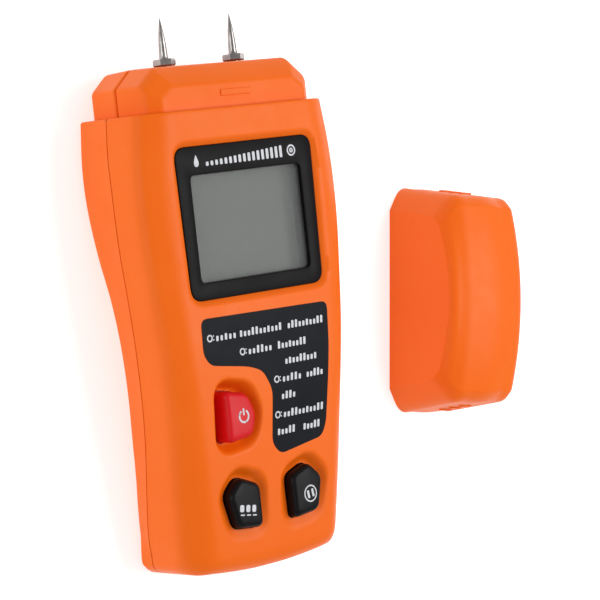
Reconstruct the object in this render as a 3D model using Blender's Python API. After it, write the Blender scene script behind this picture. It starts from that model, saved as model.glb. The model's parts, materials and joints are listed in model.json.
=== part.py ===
"""Two-pin moisture meter lying on its back, with its protective cap standing beside it.

Units are metres in the file and millimetres in the tables below.  X is the width, +Y runs
towards the pins and +Z is up, out of the display.  The origin is the middle of the back.
"""

import math

import bmesh
import bpy
import numpy as np
from mathutils import Matrix, Vector

MM = 0.001
GAP = 0.3

# Body: half widths and heights along the length, one table per edge of the cross-section.
SHOULDER_Y = 50.3
TOE_Y = -66.0
BOTTOM_Y = -62.2
WIDTH_AT = ((-66.0, 24.6), (-57.0, 25.6), (-42.5, 27.0), (-26.0, 28.0), (-14.0, 28.8), (-6.0, 29.5),
            (7.0, 30.7), (20.0, 31.7), (30.0, 31.9), (40.0, 31.4), (50.3, 30.0))
FACE_WIDTH_AT = ((-66.0, 19.0), (-49.0, 20.6), (-28.0, 22.4), (-15.0, 23.5), (-6.0, 24.2),
                 (6.0, 24.6), (30.0, 25.4), (50.3, 23.8))
FACE_Z_AT = ((-66.0, 21.2), (-58.0, 22.4), (-49.0, 23.8), (-28.0, 26.2), (-15.0, 27.4),
             (-4.0, 27.8), (10.0, 27.8), (50.3, 27.8))
SHOULDER_Z_AT = ((-66.0, 16.3), (-57.0, 17.5), (-42.5, 19.3), (-26.0, 21.5), (-14.0, 23.0),
                 (-6.0, 23.7), (6.0, 24.1), (50.3, 24.2))
SEAM_Z_AT = ((-66.0, 5.2), (-51.0, 7.0), (-40.0, 9.4), (-27.0, 12.0), (-12.0, 13.8), (0.0, 14.7),
             (20.0, 15.0), (32.0, 14.9), (43.0, 14.0), (50.3, 13.5))
REAR_EDGE_Z_AT = ((-66.0, 1.4), (-56.0, 1.6), (-47.0, 2.6), (-37.0, 4.2), (-27.0, 5.2), (-17.0, 6.3),
                  (-8.0, 6.9), (0.0, 7.0), (7.0, 6.5), (17.0, 4.8), (32.0, 2.7), (50.3, 1.7))
REAR_CHAMFER_SLOPE = 1.5
SEAM_BULGE = 0.5
REAR_DRAFT = 0.9
STATIONS = (50.3, 46.0, 40.0, 33.0, 26.0, 19.0, 12.0, 5.0, -2.0, -9.0, -16.0, -23.0, -30.0, -37.0,
            -44.0, -51.0, -58.0, -66.0)
EDGE_RADIUS = 2.6
EDGE_STEPS = 3
WALL = 2.0
FACE_WALL = 2.4
CAVITY_END_Y = -57.6
CAVITY_TOP_Y = 48.2

# Bottom end seen from the front.
BOTTOM_OUTLINE = ((26.6, -54.5), (26.0, -57.4), (24.9, -59.3), (23.1, -60.4), (18.0, -61.1),
                  (12.0, -61.7), (6.0, -62.1), (0.0, -62.2))

# Nose that the cap slides over: (height, half width, top, chamfer along X, chamfer along Y).
NOSE_ROOT_Y = 47.0
NOSE_SEAM_Z = 13.5
NOSE_FRONT = ((13.5, 27.0, 61.4, 5.2, 4.5), (21.6, 26.4, 61.2, 5.0, 4.3), (23.3, 26.1, 59.6, 4.7, 3.9),
              (25.8, 22.9, 56.2, 3.6, 2.6))
NOSE_REAR = ((1.9, 24.4, 59.2, 3.8, 2.8), (3.6, 26.2, 61.0, 4.8, 4.2), (13.5, 27.0, 61.4, 5.2, 4.5))
NOSE_WALL = 2.1
NOSE_ROOF_Y = 59.2
SNAP_BAR = (-4.6, 5.2, 53.0, 54.6, 25.6, 26.1)

# Cap: (height, half width at mouth, half width at corner, corner Y, crown Y).
CAP_MOUTH_Y = 50.6
CAP_LEVELS = ((0.6, 26.8, 23.9, 67.4, 73.0), (2.6, 29.2, 26.4, 69.6, 75.2), (8.0, 30.0, 27.1, 70.8, 76.6),
              (13.5, 30.4, 27.5, 71.4, 77.2), (19.0, 30.2, 27.3, 70.9, 76.6), (23.6, 29.9, 27.0, 69.9, 75.6),
              (24.6, 29.2, 26.3, 69.4, 75.1), (27.4, 24.9, 22.4, 67.6, 73.5),
              (27.9, 24.0, 21.6, 66.9, 72.8))
CAP_HOLLOW = ((1.7, 25.6, 23.2, 66.2, 71.6), (3.4, 27.6, 24.9, 67.9, 73.4),
              (13.5, 28.6, 25.9, 69.6, 75.5), (23.4, 28.2, 25.4, 68.0, 73.9),
              (26.3, 24.2, 21.6, 65.8, 71.3))
CAP_WIDEST = 3
CAP_CORNER_RUN = 2.6
CAP_CROWN_POINTS = 13
CAP_STAND_X = 84.0
CAP_STAND_Y = -7.0
CAP_TURN_DEG = -8.6
CAP_RIBS = ((7.0, 13.6), (10.6, 13.6), (14.2, 13.6))
CAP_RIB_SIZE = (0.4, 1.5, 4.0)

# Display.
BEZEL_TOP_Y = 41.75
BEZEL_LOW_Y = 5.0
BEZEL_HALF_TOP = 22.15
BEZEL_HALF_LOW = 21.4
BEZEL_RADIUS = 3.4
BEZEL_Z = (26.05, 26.95)
BEZEL_SEAT_Z = 25.9
WINDOW_HALF_X = 17.8
WINDOW_HALF_Y = 12.85
WINDOW_Y = 22.0
WINDOW_RADIUS = 1.6
LENS_Z = (24.9, 25.8)
LCD_FRAME_Z = (22.95, 24.8)
LCD_Z = (21.3, 22.85)
STRIP_Z = (20.55, 21.25)

# Printed label, seen from the front.
LABEL_OUTLINE = ((-20.4, 0.9), (20.9, 0.3), (20.3, -10.0), (18.0, -29.6), (16.4, -32.8),
                 (2.4, -35.0), (-0.2, -32.0), (0.6, -18.8), (-2.2, -13.8), (-6.6, -12.2),
                 (-18.6, -10.4), (-20.6, -7.6))
LABEL_RADIUS = 2.0
LABEL_DEPTH = 0.2
LABEL_THICK = 0.18

# Buttons: outlines from the front, and the heights that carry them.
POWER_OUTLINE = ((-15.2, -17.0), (-8.1, -18.4), (-5.9, -23.6), (-7.5, -28.9), (-15.2, -29.8))
HOLD_OUTLINE = ((5.2, -40.9), (11.4, -38.6), (15.4, -42.4), (13.3, -50.8), (5.3, -51.6))
BUTTON_RADIUS = 1.7
DISH_MARGIN = 2.9
DISH_FLOOR_Z = 22.7
WELL_FLOOR_Z = 21.95
BUTTON_FOOT_Z = 21.3
BUTTON_LIP = 0.8
BUTTON_PROUD = 1.4
BUTTON_TRAVEL = 0.35

# Circuit board and the parts on it.
BOARD_Z = (19.5, 20.5)
BOARD_HALF_X = 17.3
BOARD_Y = (-51.5, 44.5)
DOME_RADIUS = 2.6
DOME_HEIGHT = 0.35

# Nine-volt block battery.
BATTERY_HALF_X = 13.25
BATTERY_Y = (-56.2, -9.8)
BATTERY_Z = (1.8, 19.2)
COVER_HALF_X = 15.6
COVER_Y = (-61.2, -6.0)
COVER_THICK = 1.5
COVER_RAIL = 1.2

# Electrodes.
PIN_X = 11.2
PIN_Z = 14.2
PIN_TIP_Y = 73.3
PIN_RADIUS = 1.05
PIN_POINT = ((9.3, 1.05), (8.3, 1.02), (6.8, 0.95), (5.3, 0.83), (3.9, 0.68), (2.5, 0.48), (1.3, 0.28),
             (0.4, 0.12), (0.0, 0.04))
STUD_RADIUS = 1.5
STUD_CLEAR = 0.08
NUT_FLATS = 4.9
NUT_Y = (61.5, 63.3)
INSERT_RADIUS = 2.6
INSERT_Y = (52.2, 61.1)
LUG_Y = (50.9, 51.9)

# Housing screws.
SCREWS = ((24.0, 37.0), (-24.0, 37.0), (20.6, -49.0), (-20.6, -49.0))
SCREW_HEAD_RADIUS = 2.5
SCREW_RADIUS = 1.2
SCREW_Z = (1.0, 2.7, 13.5)
BOSS_RADIUS = 3.0
BOSS_START_Z = 7.6

ROUND = 24
SMALL_ROUND = 16

COLORS = {
    "orange_abs": ((0.93, 0.24, 0.03, 1.0), 0.38, 0.0),
    "black_plastic": ((0.02, 0.02, 0.022, 1.0), 0.35, 0.0),
    "label_print": ((0.018, 0.018, 0.02, 1.0), 0.5, 0.0),
    "red_rubber": ((0.62, 0.02, 0.025, 1.0), 0.45, 0.0),
    "black_rubber": ((0.018, 0.018, 0.02, 1.0), 0.5, 0.0),
    "clear_lens": ((0.9, 0.93, 0.92, 1.0), 0.05, 0.0),
    "lcd_grey": ((0.29, 0.31, 0.28, 1.0), 0.25, 0.0),
    "nickel": ((0.72, 0.7, 0.66, 1.0), 0.2, 1.0),
    "brass": ((0.72, 0.52, 0.2, 1.0), 0.3, 1.0),
    "board_green": ((0.03, 0.2, 0.07, 1.0), 0.5, 0.0),
    "chip_black": ((0.03, 0.03, 0.035, 1.0), 0.55, 0.0),
    "silicone": ((0.75, 0.74, 0.7, 1.0), 0.6, 0.0),
    "battery_case": ((0.2, 0.21, 0.24, 1.0), 0.35, 0.6),
    "battery_end": ((0.04, 0.04, 0.045, 1.0), 0.5, 0.0),
    "steel": ((0.62, 0.62, 0.64, 1.0), 0.3, 1.0),
    "lead_red": ((0.6, 0.03, 0.03, 1.0), 0.45, 0.0),
    "lead_black": ((0.02, 0.02, 0.02, 1.0), 0.45, 0.0),
    "lead_white": ((0.8, 0.8, 0.78, 1.0), 0.45, 0.0),
    "foam": ((0.1, 0.1, 0.11, 1.0), 0.95, 0.0),
    "trimmer_blue": ((0.05, 0.16, 0.5, 1.0), 0.45, 0.0),
}


def clear_objects():
    for obj in list(bpy.data.objects):
        bpy.data.objects.remove(obj, do_unlink=True)


def collection(name):
    made = bpy.data.collections.get(name) or bpy.data.collections.new(name)
    if name not in bpy.context.scene.collection.children:
        bpy.context.scene.collection.children.link(made)
    return made


def material(name):
    made = bpy.data.materials.get(name)
    if made:
        return made
    color, roughness, metallic = COLORS[name]
    made = bpy.data.materials.new(name)
    made.use_nodes = True
    made.diffuse_color = color
    shader = made.node_tree.nodes["Principled BSDF"]
    shader.inputs["Base Color"].default_value = color
    shader.inputs["Roughness"].default_value = roughness
    shader.inputs["Metallic"].default_value = metallic
    return made


def finish(bm, name, skin):
    """Turn a bmesh in millimetres into a named object in metres."""
    bmesh.ops.recalc_face_normals(bm, faces=bm.faces)
    bmesh.ops.scale(bm, vec=Vector((MM, MM, MM)), verts=bm.verts)
    mesh = bpy.data.meshes.new(name)
    bm.to_mesh(mesh)
    bm.free()
    obj = bpy.data.objects.new(name, mesh)
    mesh.materials.append(material(skin))
    collection("moisture_meter").objects.link(obj)
    return obj


def as_cutter(obj):
    """Move a shape that only cuts or joins into the hidden cutters collection."""
    for owner in list(obj.users_collection):
        owner.objects.unlink(obj)
    collection("cutters").objects.link(obj)
    obj.hide_render = True
    obj.display_type = "WIRE"
    return obj


def boolean(target, tool, operation):
    """Apply one exact boolean and keep the result as the target's own mesh."""
    step = target.modifiers.new(operation.lower(), "BOOLEAN")
    step.object = tool
    step.operation = operation
    step.solver = "EXACT"
    graph = bpy.context.evaluated_depsgraph_get()
    graph.update()
    mesh = bpy.data.meshes.new_from_object(target.evaluated_get(graph))
    target.modifiers.clear()
    old = target.data
    target.data = mesh
    bpy.data.meshes.remove(old)
    as_cutter(tool)
    return target


def curve_value(table, y):
    """Catmull-Rom value of a table of (position, value) pairs at position y."""
    xs = np.array([row[0] for row in table])
    vs = np.array([row[1] for row in table])
    slopes = np.gradient(vs, xs)
    y = float(np.clip(y, xs[0], xs[-1]))
    i = int(np.clip(np.searchsorted(xs, y) - 1, 0, len(xs) - 2))
    h = xs[i + 1] - xs[i]
    t = (y - xs[i]) / h
    a = 2 * t**3 - 3 * t**2 + 1
    b = t**3 - 2 * t**2 + t
    c = -2 * t**3 + 3 * t**2
    d = t**3 - t**2
    return float(a * vs[i] + b * h * slopes[i] + c * vs[i + 1] + d * h * slopes[i + 1])


def rounded(points, radius, steps):
    """Replace each corner of a closed outline with an arc-like run of points."""
    out = []
    count = len(points)
    for i in range(count):
        here = Vector(points[i])
        before = Vector(points[i - 1])
        after = Vector(points[(i + 1) % count])
        reach = min(radius, 0.45 * (before - here).length, 0.45 * (after - here).length)
        start = here + (before - here).normalized() * reach
        end = here + (after - here).normalized() * reach
        for k in range(steps + 1):
            t = k / steps
            spot = start * (1 - t) ** 2 + here * 2 * t * (1 - t) + end * t**2
            out.append((spot.x, spot.y))
    return out


def offset(points, amount):
    """Move a closed outline outwards by an amount, corner by corner."""
    count = len(points)
    area = sum(points[i - 1][0] * points[i][1] - points[i][0] * points[i - 1][1] for i in range(count))
    side = 1.0 if area > 0 else -1.0
    out = []
    for i in range(count):
        here = Vector(points[i])
        first = (here - Vector(points[i - 1])).normalized()
        second = (Vector(points[(i + 1) % count]) - here).normalized()
        normal_a = Vector((first.y, -first.x)) * side
        normal_b = Vector((second.y, -second.x)) * side
        middle = (normal_a + normal_b).normalized()
        reach = amount / max(0.5, middle.dot(normal_a))
        spot = here + middle * reach
        out.append((spot.x, spot.y))
    return out


def stack(name, rings, skin):
    """Closed loft through rings of 3-D points that all have the same count."""
    bm = bmesh.new()
    layers = [[bm.verts.new(p) for p in ring] for ring in rings]
    count = len(layers[0])
    for low, high in zip(layers, layers[1:]):
        for i in range(count):
            j = (i + 1) % count
            bm.faces.new((low[i], low[j], high[j], high[i]))
    bm.faces.new(list(reversed(layers[0])))
    bm.faces.new(layers[-1])
    return finish(bm, name, skin)


def prism(name, outline, low, high, skin, top=None):
    """Outline in the XY plane carried from one height to another."""
    top = top or outline
    rings = [[(x, y, low) for x, y in outline], [(x, y, high) for x, y in top]]
    return stack(name, rings, skin)


def box(name, x, y, z, skin, bevel=0.0):
    """Box from its three (low, high) spans, with its edges eased if asked."""
    bm = bmesh.new()
    bmesh.ops.create_cube(bm, size=1.0)
    size = Vector((x[1] - x[0], y[1] - y[0], z[1] - z[0]))
    centre = Vector((x[1] + x[0], y[1] + y[0], z[1] + z[0])) / 2
    bmesh.ops.scale(bm, vec=size, verts=bm.verts)
    bmesh.ops.translate(bm, vec=centre, verts=bm.verts)
    if bevel:
        bmesh.ops.bevel(bm, geom=bm.edges[:], offset=bevel, segments=1, affect="EDGES")
    return finish(bm, name, skin)


def rod(name, centre, axis, radius, length, skin, sides=ROUND):
    """Cylinder that starts at a point and runs along X, Y or Z."""
    bm = bmesh.new()
    bmesh.ops.create_cone(bm, cap_ends=True, segments=sides, radius1=radius, radius2=radius, depth=length)
    turn = {"X": Matrix.Rotation(math.pi / 2, 3, "Y"), "Y": Matrix.Rotation(-math.pi / 2, 3, "X"),
            "Z": Matrix.Identity(3)}[axis]
    way = {"X": Vector((1, 0, 0)), "Y": Vector((0, 1, 0)), "Z": Vector((0, 0, 1))}[axis]
    bmesh.ops.rotate(bm, cent=(0, 0, 0), matrix=turn, verts=bm.verts)
    bmesh.ops.translate(bm, vec=Vector(centre) + way * length / 2, verts=bm.verts)
    return finish(bm, name, skin)


def turned(name, profile, x, z, skin, sides=ROUND):
    """Solid of revolution about an axis along Y, from (y, radius) pairs without axis points."""
    rings = []
    for y, radius in profile:
        angles = [2 * math.pi * k / sides for k in range(sides)]
        rings.append([(x + radius * math.cos(a), y, z + radius * math.sin(a)) for a in angles])
    return stack(name, rings, skin)


def lead(name, points, radius, skin):
    """Round insulated wire along a smooth path."""
    data = bpy.data.curves.new(name, "CURVE")
    data.dimensions = "3D"
    data.bevel_depth = radius * MM
    data.bevel_resolution = 2
    data.use_fill_caps = True
    spots = smooth_path([Vector(p) for p in points])
    spline = data.splines.new("POLY")
    spline.points.add(len(spots) - 1)
    for target, p in zip(spline.points, spots):
        target.co = (p.x * MM, p.y * MM, p.z * MM, 1.0)
    drawn = bpy.data.objects.new(name + "_path", data)
    collection("cutters").objects.link(drawn)
    graph = bpy.context.evaluated_depsgraph_get()
    mesh = bpy.data.meshes.new_from_object(drawn.evaluated_get(graph))
    bpy.data.objects.remove(drawn, do_unlink=True)
    bm = bmesh.new()
    bm.from_mesh(mesh)
    bmesh.ops.remove_doubles(bm, verts=bm.verts, dist=1e-6)
    bmesh.ops.scale(bm, vec=Vector((1 / MM, 1 / MM, 1 / MM)), verts=bm.verts)
    return finish(bm, name, skin)


def smooth_path(points, steps=4):
    """Catmull-Rom run of points through the given ones."""
    ends = [points[0] * 2 - points[1]] + points + [points[-1] * 2 - points[-2]]
    out = []
    for i in range(1, len(ends) - 2):
        a, b, c, d = ends[i - 1], ends[i], ends[i + 1], ends[i + 2]
        for k in range(steps):
            t = k / steps
            out.append(0.5 * (2 * b + (c - a) * t + (2 * a - 5 * b + 4 * c - d) * t**2
                              + (3 * b - a - 3 * c + d) * t**3))
    out.append(points[-1])
    return out


def mirrored(half):
    """Closed outline from its right half, listed from the centre line round to the centre line."""
    left = [(-x, z) for x, z in reversed(half) if x > 1e-6]
    return list(half) + left


def front_ring(y, inset=0.0, floor=None):
    """Cross-section of the front shell's outside, or of its hollow when inset is given."""
    seam = curve_value(SEAM_Z_AT, y) + GAP / 2 if floor is None else floor
    side = curve_value(WIDTH_AT, y)
    face = curve_value(FACE_WIDTH_AT, y)
    top = curve_value(FACE_Z_AT, y)
    edge = curve_value(SHOULDER_Z_AT, y)
    if inset:
        half = ((side - WALL, seam), (side - WALL, edge - 0.9), (face - 0.9, top - FACE_WALL))
    else:
        half = ((side + SEAM_BULGE, seam), (side, edge), (face, top))
    ring = [half[0], half[1], half[2]]
    outline = ring + [(-x, z) for x, z in reversed(ring)]
    soft = rounded(outline[1:5], EDGE_RADIUS, EDGE_STEPS)
    points = [outline[0]] + soft + [outline[5]]
    return [(x, y, z) for x, z in points]


def rear_ring(y, inset=0.0, ceiling=None):
    """Cross-section of the rear shell's outside, or of its hollow when inset is given."""
    seam = curve_value(SEAM_Z_AT, y) - GAP / 2 if ceiling is None else ceiling
    side = curve_value(WIDTH_AT, y)
    edge = curve_value(REAR_EDGE_Z_AT, y)
    flat = side - REAR_DRAFT - REAR_CHAMFER_SLOPE * edge
    if inset:
        half = ((side - WALL, seam), (side - REAR_DRAFT - WALL, edge + 1.0), (flat - 0.9, WALL))
    else:
        half = ((side + SEAM_BULGE, seam), (side - REAR_DRAFT, edge), (flat, 0.0))
    outline = list(half) + [(-x, z) for x, z in reversed(half)]
    return [(x, y, z) for x, z in outline]


def nose_ring(z, half, top, run_x, run_y, low=NOSE_ROOT_Y):
    points = ((half, low), (half, top - run_y), (half - run_x, top), (-half + run_x, top),
              (-half, top - run_y), (-half, low))
    return [(x, y, z) for x, y in points]


def cap_ring(level, mouth):
    z, at_mouth, at_corner, corner, crown = level
    start_x = at_corner - CAP_CORNER_RUN
    start_y = corner + CAP_CORNER_RUN * 0.9
    points = [(at_mouth, mouth), (at_corner, corner)]
    for k in range(CAP_CROWN_POINTS):
        x = start_x * math.cos(math.pi * k / (CAP_CROWN_POINTS - 1))
        points.append((x, crown - (crown - start_y) * (x / start_x) ** 2))
    points += [(-at_corner, corner), (-at_mouth, mouth)]
    return [(x, y, z) for x, y in points]


def bottom_prism(name):
    right = list(BOTTOM_OUTLINE)
    left = [(-x, y) for x, y in reversed(right[:-1])]
    outline = [(60.0, 90.0), (60.0, -54.5)] + right + left + [(-60.0, -54.5), (-60.0, 90.0)]
    return prism(name, outline, -10.0, 40.0, "orange_abs")


def bezel_outline(grow=0.0):
    corners = ((-BEZEL_HALF_TOP, BEZEL_TOP_Y), (BEZEL_HALF_TOP, BEZEL_TOP_Y),
               (BEZEL_HALF_LOW, BEZEL_LOW_Y), (-BEZEL_HALF_LOW, BEZEL_LOW_Y))
    return rounded(offset(corners, grow), BEZEL_RADIUS + grow, 5)


def window_outline(grow=0.0):
    x = WINDOW_HALF_X + grow
    y = WINDOW_HALF_Y + grow
    corners = ((-x, WINDOW_Y + y), (x, WINDOW_Y + y), (x, WINDOW_Y - y), (-x, WINDOW_Y - y))
    return rounded(corners, WINDOW_RADIUS + grow, 4)


def face_layer(name, low, high):
    """Slab that follows the front face between two distances from it."""
    ys = [8.0, 2.0, -4.0, -10.0, -16.0, -22.0, -28.0, -34.0, -40.0]
    rings = []
    for y in ys:
        z = curve_value(FACE_Z_AT, y)
        rings.append([(26.0, y, z + low), (26.0, y, z + high), (-26.0, y, z + high), (-26.0, y, z + low)])
    return stack(name, rings, "label_print")


def mirror_x(outline):
    return [(-x, y) for x, y in outline]


def shell_bosses(shell, start, end, name):
    for number, (x, y) in enumerate(SCREWS):
        boolean(shell, rod(f"{name}_{number}", (x, y, start), "Z", BOSS_RADIUS, end(x, y) - start,
                           "orange_abs", SMALL_ROUND), "UNION")


def front_shell():
    shell = stack("front_shell", [front_ring(y) for y in STATIONS], "orange_abs")
    boolean(shell, bottom_prism("bottom_trim_front"), "INTERSECT")
    levels = [(NOSE_SEAM_Z + GAP / 2,) + NOSE_FRONT[0][1:]] + list(NOSE_FRONT[1:])
    boolean(shell, stack("nose_front", [nose_ring(*level) for level in levels], "orange_abs"), "UNION")
    inner = [y for y in STATIONS if CAVITY_END_Y < y < CAVITY_TOP_Y]
    ys = [CAVITY_TOP_Y] + inner + [CAVITY_END_Y]
    hollow = [front_ring(y, inset=WALL, floor=curve_value(SEAM_Z_AT, y) - 3.0) for y in ys]
    boolean(shell, stack("front_hollow", hollow, "orange_abs"), "DIFFERENCE")
    nose = [(10.0, 27.0 - NOSE_WALL, NOSE_ROOF_Y, 4.6, 4.0), (21.4, 26.2 - NOSE_WALL, NOSE_ROOF_Y, 4.4, 3.8),
            (23.6, 21.6, 55.0, 2.6, 1.8)]
    boolean(shell, stack("nose_front_hollow", [nose_ring(*level, low=45.0) for level in nose],
                         "orange_abs"), "DIFFERENCE")
    x0, x1, y0, y1, z0, z1 = SNAP_BAR
    boolean(shell, box("snap_bar", (x0, x1), (y0, y1), (z0, z1), "orange_abs"), "UNION")
    for name, outline in button_outlines().items():
        well = rounded(offset(outline, DISH_MARGIN + 1.2), 4.0, 4)
        roof = min(curve_value(FACE_Z_AT, y) for _, y in well) - 0.5
        boolean(shell, prism(f"{name}_well", well, WELL_FLOOR_Z, roof, "orange_abs"), "UNION")
    shell_bosses(shell, BOSS_START_Z, lambda x, y: curve_value(FACE_Z_AT, y) - 1.4 if y > 0 else 20.4,
                 "front_boss")
    for number, (x, y) in enumerate(SCREWS):
        boolean(shell, rod(f"pilot_{number}", (x, y, BOSS_START_Z - 1), "Z", SCREW_RADIUS + 0.05, 9.0,
                           "steel", SMALL_ROUND), "DIFFERENCE")
    rim = prism("bezel_recess", bezel_outline(0.25), BEZEL_SEAT_Z, 28.2, "orange_abs",
                top=bezel_outline(2.6))
    boolean(shell, rim, "DIFFERENCE")
    boolean(shell, prism("window_cut", window_outline(1.7), 24.0, 27.0, "orange_abs"), "DIFFERENCE")
    for name, outline in button_outlines().items():
        low = rounded(offset(outline, 0.7), BUTTON_RADIUS + 0.6, 4)
        top_z = max(curve_value(FACE_Z_AT, y) for _, y in outline) + 1.0
        high = rounded(offset(outline, DISH_MARGIN + 0.5), BUTTON_RADIUS + 2.6, 4)
        boolean(shell, prism(f"{name}_dish", low, DISH_FLOOR_Z, top_z, "orange_abs", top=high), "DIFFERENCE")
        room = rounded(offset(outline, BUTTON_LIP + 0.4), BUTTON_RADIUS + 1.0, 4)
        boolean(shell, prism(f"{name}_lip_room", room, 15.0, WELL_FLOOR_Z, "orange_abs"), "DIFFERENCE")
        hole = rounded(offset(outline, 0.3), BUTTON_RADIUS + 0.3, 4)
        boolean(shell, prism(f"{name}_hole", hole, WELL_FLOOR_Z - 1, DISH_FLOOR_Z + 1, "orange_abs"),
                "DIFFERENCE")
    recess = face_layer("label_recess", -LABEL_DEPTH, 3.0)
    boolean(recess, prism("label_recess_plan", rounded(offset(LABEL_OUTLINE, 0.12), LABEL_RADIUS, 4),
                          15.0, 40.0, "orange_abs"), "INTERSECT")
    boolean(shell, recess, "DIFFERENCE")
    cut_electrode_holes(shell, "front")
    return shell


def cut_electrode_holes(shell, side):
    for label, x in (("left", -PIN_X), ("right", PIN_X)):
        boolean(shell, rod(f"insert_hole_{side}_{label}", (x, 56.0, PIN_Z), "Y", INSERT_RADIUS + 0.1, 8.0,
                           "brass"), "DIFFERENCE")


def rear_shell():
    shell = stack("rear_shell", [rear_ring(y) for y in STATIONS], "orange_abs")
    boolean(shell, bottom_prism("bottom_trim_rear"), "INTERSECT")
    levels = list(NOSE_REAR[:-1]) + [(NOSE_SEAM_Z - GAP / 2,) + NOSE_REAR[-1][1:]]
    boolean(shell, stack("nose_rear", [nose_ring(*level) for level in levels], "orange_abs"), "UNION")
    inner = [y for y in STATIONS if CAVITY_END_Y < y < CAVITY_TOP_Y]
    ys = [CAVITY_TOP_Y] + inner + [CAVITY_END_Y]
    hollow = [rear_ring(y, inset=WALL, ceiling=curve_value(SEAM_Z_AT, y) + 3.0) for y in ys]
    boolean(shell, stack("rear_hollow", hollow, "orange_abs"), "DIFFERENCE")
    nose = [(4.2, 24.2 - NOSE_WALL / 2, NOSE_ROOF_Y - 1.0, 4.0, 3.4), (17.0, 27.0 - NOSE_WALL, NOSE_ROOF_Y,
                                                                       4.6, 4.0)]
    boolean(shell, stack("nose_rear_hollow", [nose_ring(*level, low=45.0) for level in nose],
                         "orange_abs"), "DIFFERENCE")
    for number, (x, y) in enumerate(SCREWS):
        top = min(7.2, curve_value(SEAM_Z_AT, y) - 0.5)
        boolean(shell, rod(f"rear_boss_{number}", (x, y, 1.0), "Z", BOSS_RADIUS + 0.6, top - 1.0,
                           "orange_abs", SMALL_ROUND), "UNION")
        boolean(shell, rod(f"screw_hole_{number}", (x, y, -1.0), "Z", SCREW_RADIUS + 0.3, 12.0,
                           "steel", SMALL_ROUND), "DIFFERENCE")
        boolean(shell, rod(f"screw_counterbore_{number}", (x, y, -1.0), "Z", SCREW_HEAD_RADIUS + 0.3,
                           SCREW_Z[1] + 1.0, "steel", SMALL_ROUND), "DIFFERENCE")
    x = COVER_HALF_X
    boolean(shell, box("cover_cut", (-x - GAP, x + GAP), (-70.0, COVER_Y[1] + GAP),
                       (-2.0, COVER_THICK + 0.05), "orange_abs"), "DIFFERENCE")
    inner_x = x - COVER_RAIL
    boolean(shell, box("battery_mouth", (-inner_x, inner_x), (CAVITY_END_Y, COVER_Y[1] - 2.0),
                       (-2.0, WALL + 1.0), "orange_abs"), "DIFFERENCE")
    cut_electrode_holes(shell, "rear")
    return shell


def button_outlines():
    return {"power": POWER_OUTLINE, "mode": list(reversed(mirror_x(HOLD_OUTLINE))), "hold": HOLD_OUTLINE}


def button(name, outline, skin):
    """Cap with a retaining lip below, a straight body and a crowned, eased top."""
    lip = rounded(offset(outline, BUTTON_LIP), BUTTON_RADIUS + 0.8, 4)
    body = rounded(outline, BUTTON_RADIUS, 4)
    cx = sum(p[0] for p in outline) / len(outline)
    cy = sum(p[1] for p in outline) / len(outline)
    proud = max(curve_value(FACE_Z_AT, y) for _, y in outline) - 0.5 + BUTTON_PROUD

    def ring(points, z, shrink=1.0):
        return [(cx + (x - cx) * shrink, cy + (y - cy) * shrink, z) for x, y in points]

    rings = [ring(lip, BUTTON_FOOT_Z), ring(lip, BUTTON_FOOT_Z + 0.55),
             ring(body, BUTTON_FOOT_Z + 0.56), ring(body, proud - 1.5), ring(body, proud - 0.8, 0.96),
             ring(body, proud - 0.3, 0.87), ring(body, proud - 0.05, 0.7), ring(body, proud, 0.45)]
    return stack(name, rings, skin)


def display():
    bezel = prism("display_bezel", bezel_outline(), BEZEL_Z[0], BEZEL_Z[1], "black_plastic")
    boolean(bezel, prism("bezel_window", window_outline(), 25.0, 28.0, "black_plastic"), "DIFFERENCE")
    prism("display_lens", window_outline(1.4), LENS_Z[0], LENS_Z[1], "clear_lens")
    frame = prism("lcd_frame", window_outline(1.6), LCD_FRAME_Z[0], LCD_FRAME_Z[1], "black_plastic")
    boolean(frame, prism("lcd_frame_window", window_outline(0.2), 22.0, 26.0, "black_plastic"), "DIFFERENCE")
    half_x = WINDOW_HALF_X + 1.2
    half_y = WINDOW_HALF_Y + 2.4
    box("lcd_glass", (-half_x, half_x), (WINDOW_Y - half_y, WINDOW_Y + half_y), LCD_Z, "lcd_grey")
    for label, y in (("upper", WINDOW_Y + half_y - 1.6), ("lower", WINDOW_Y - half_y + 1.6)):
        box(f"contact_strip_{label}", (-16.0, 16.0), (y - 0.9, y + 0.9), STRIP_Z, "silicone")


def group_label():
    layer = face_layer("group_label", -LABEL_DEPTH + 0.03, -LABEL_DEPTH + 0.03 + LABEL_THICK)
    plan = prism("label_plan", rounded(LABEL_OUTLINE, LABEL_RADIUS, 4), 15.0, 40.0, "label_print")
    return boolean(layer, plan, "INTERSECT")


def protective_cap():
    cap = stack("protective_cap", [cap_ring(level, CAP_MOUTH_Y) for level in CAP_LEVELS], "orange_abs")
    boolean(cap, stack("cap_hollow", [cap_ring(level, CAP_MOUTH_Y - 6.0) for level in CAP_HOLLOW],
                       "orange_abs"), "DIFFERENCE")
    proud, deep, long = CAP_RIB_SIZE
    at_mouth, at_corner, corner = CAP_LEVELS[CAP_WIDEST][1:4]
    for side in (-1, 1):
        for number, (up, z) in enumerate(CAP_RIBS):
            x = side * (at_mouth + (at_corner - at_mouth) * up / (corner - CAP_MOUTH_Y))
            rib = box(f"cap_rib_{side + 1}_{number}", (x - proud, x + proud),
                      (CAP_MOUTH_Y + up - deep / 2, CAP_MOUTH_Y + up + deep / 2),
                      (z - long / 2, z + long / 2), "orange_abs", bevel=0.25)
            boolean(cap, rib, "UNION")
    return stand_cap(cap)


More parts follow.
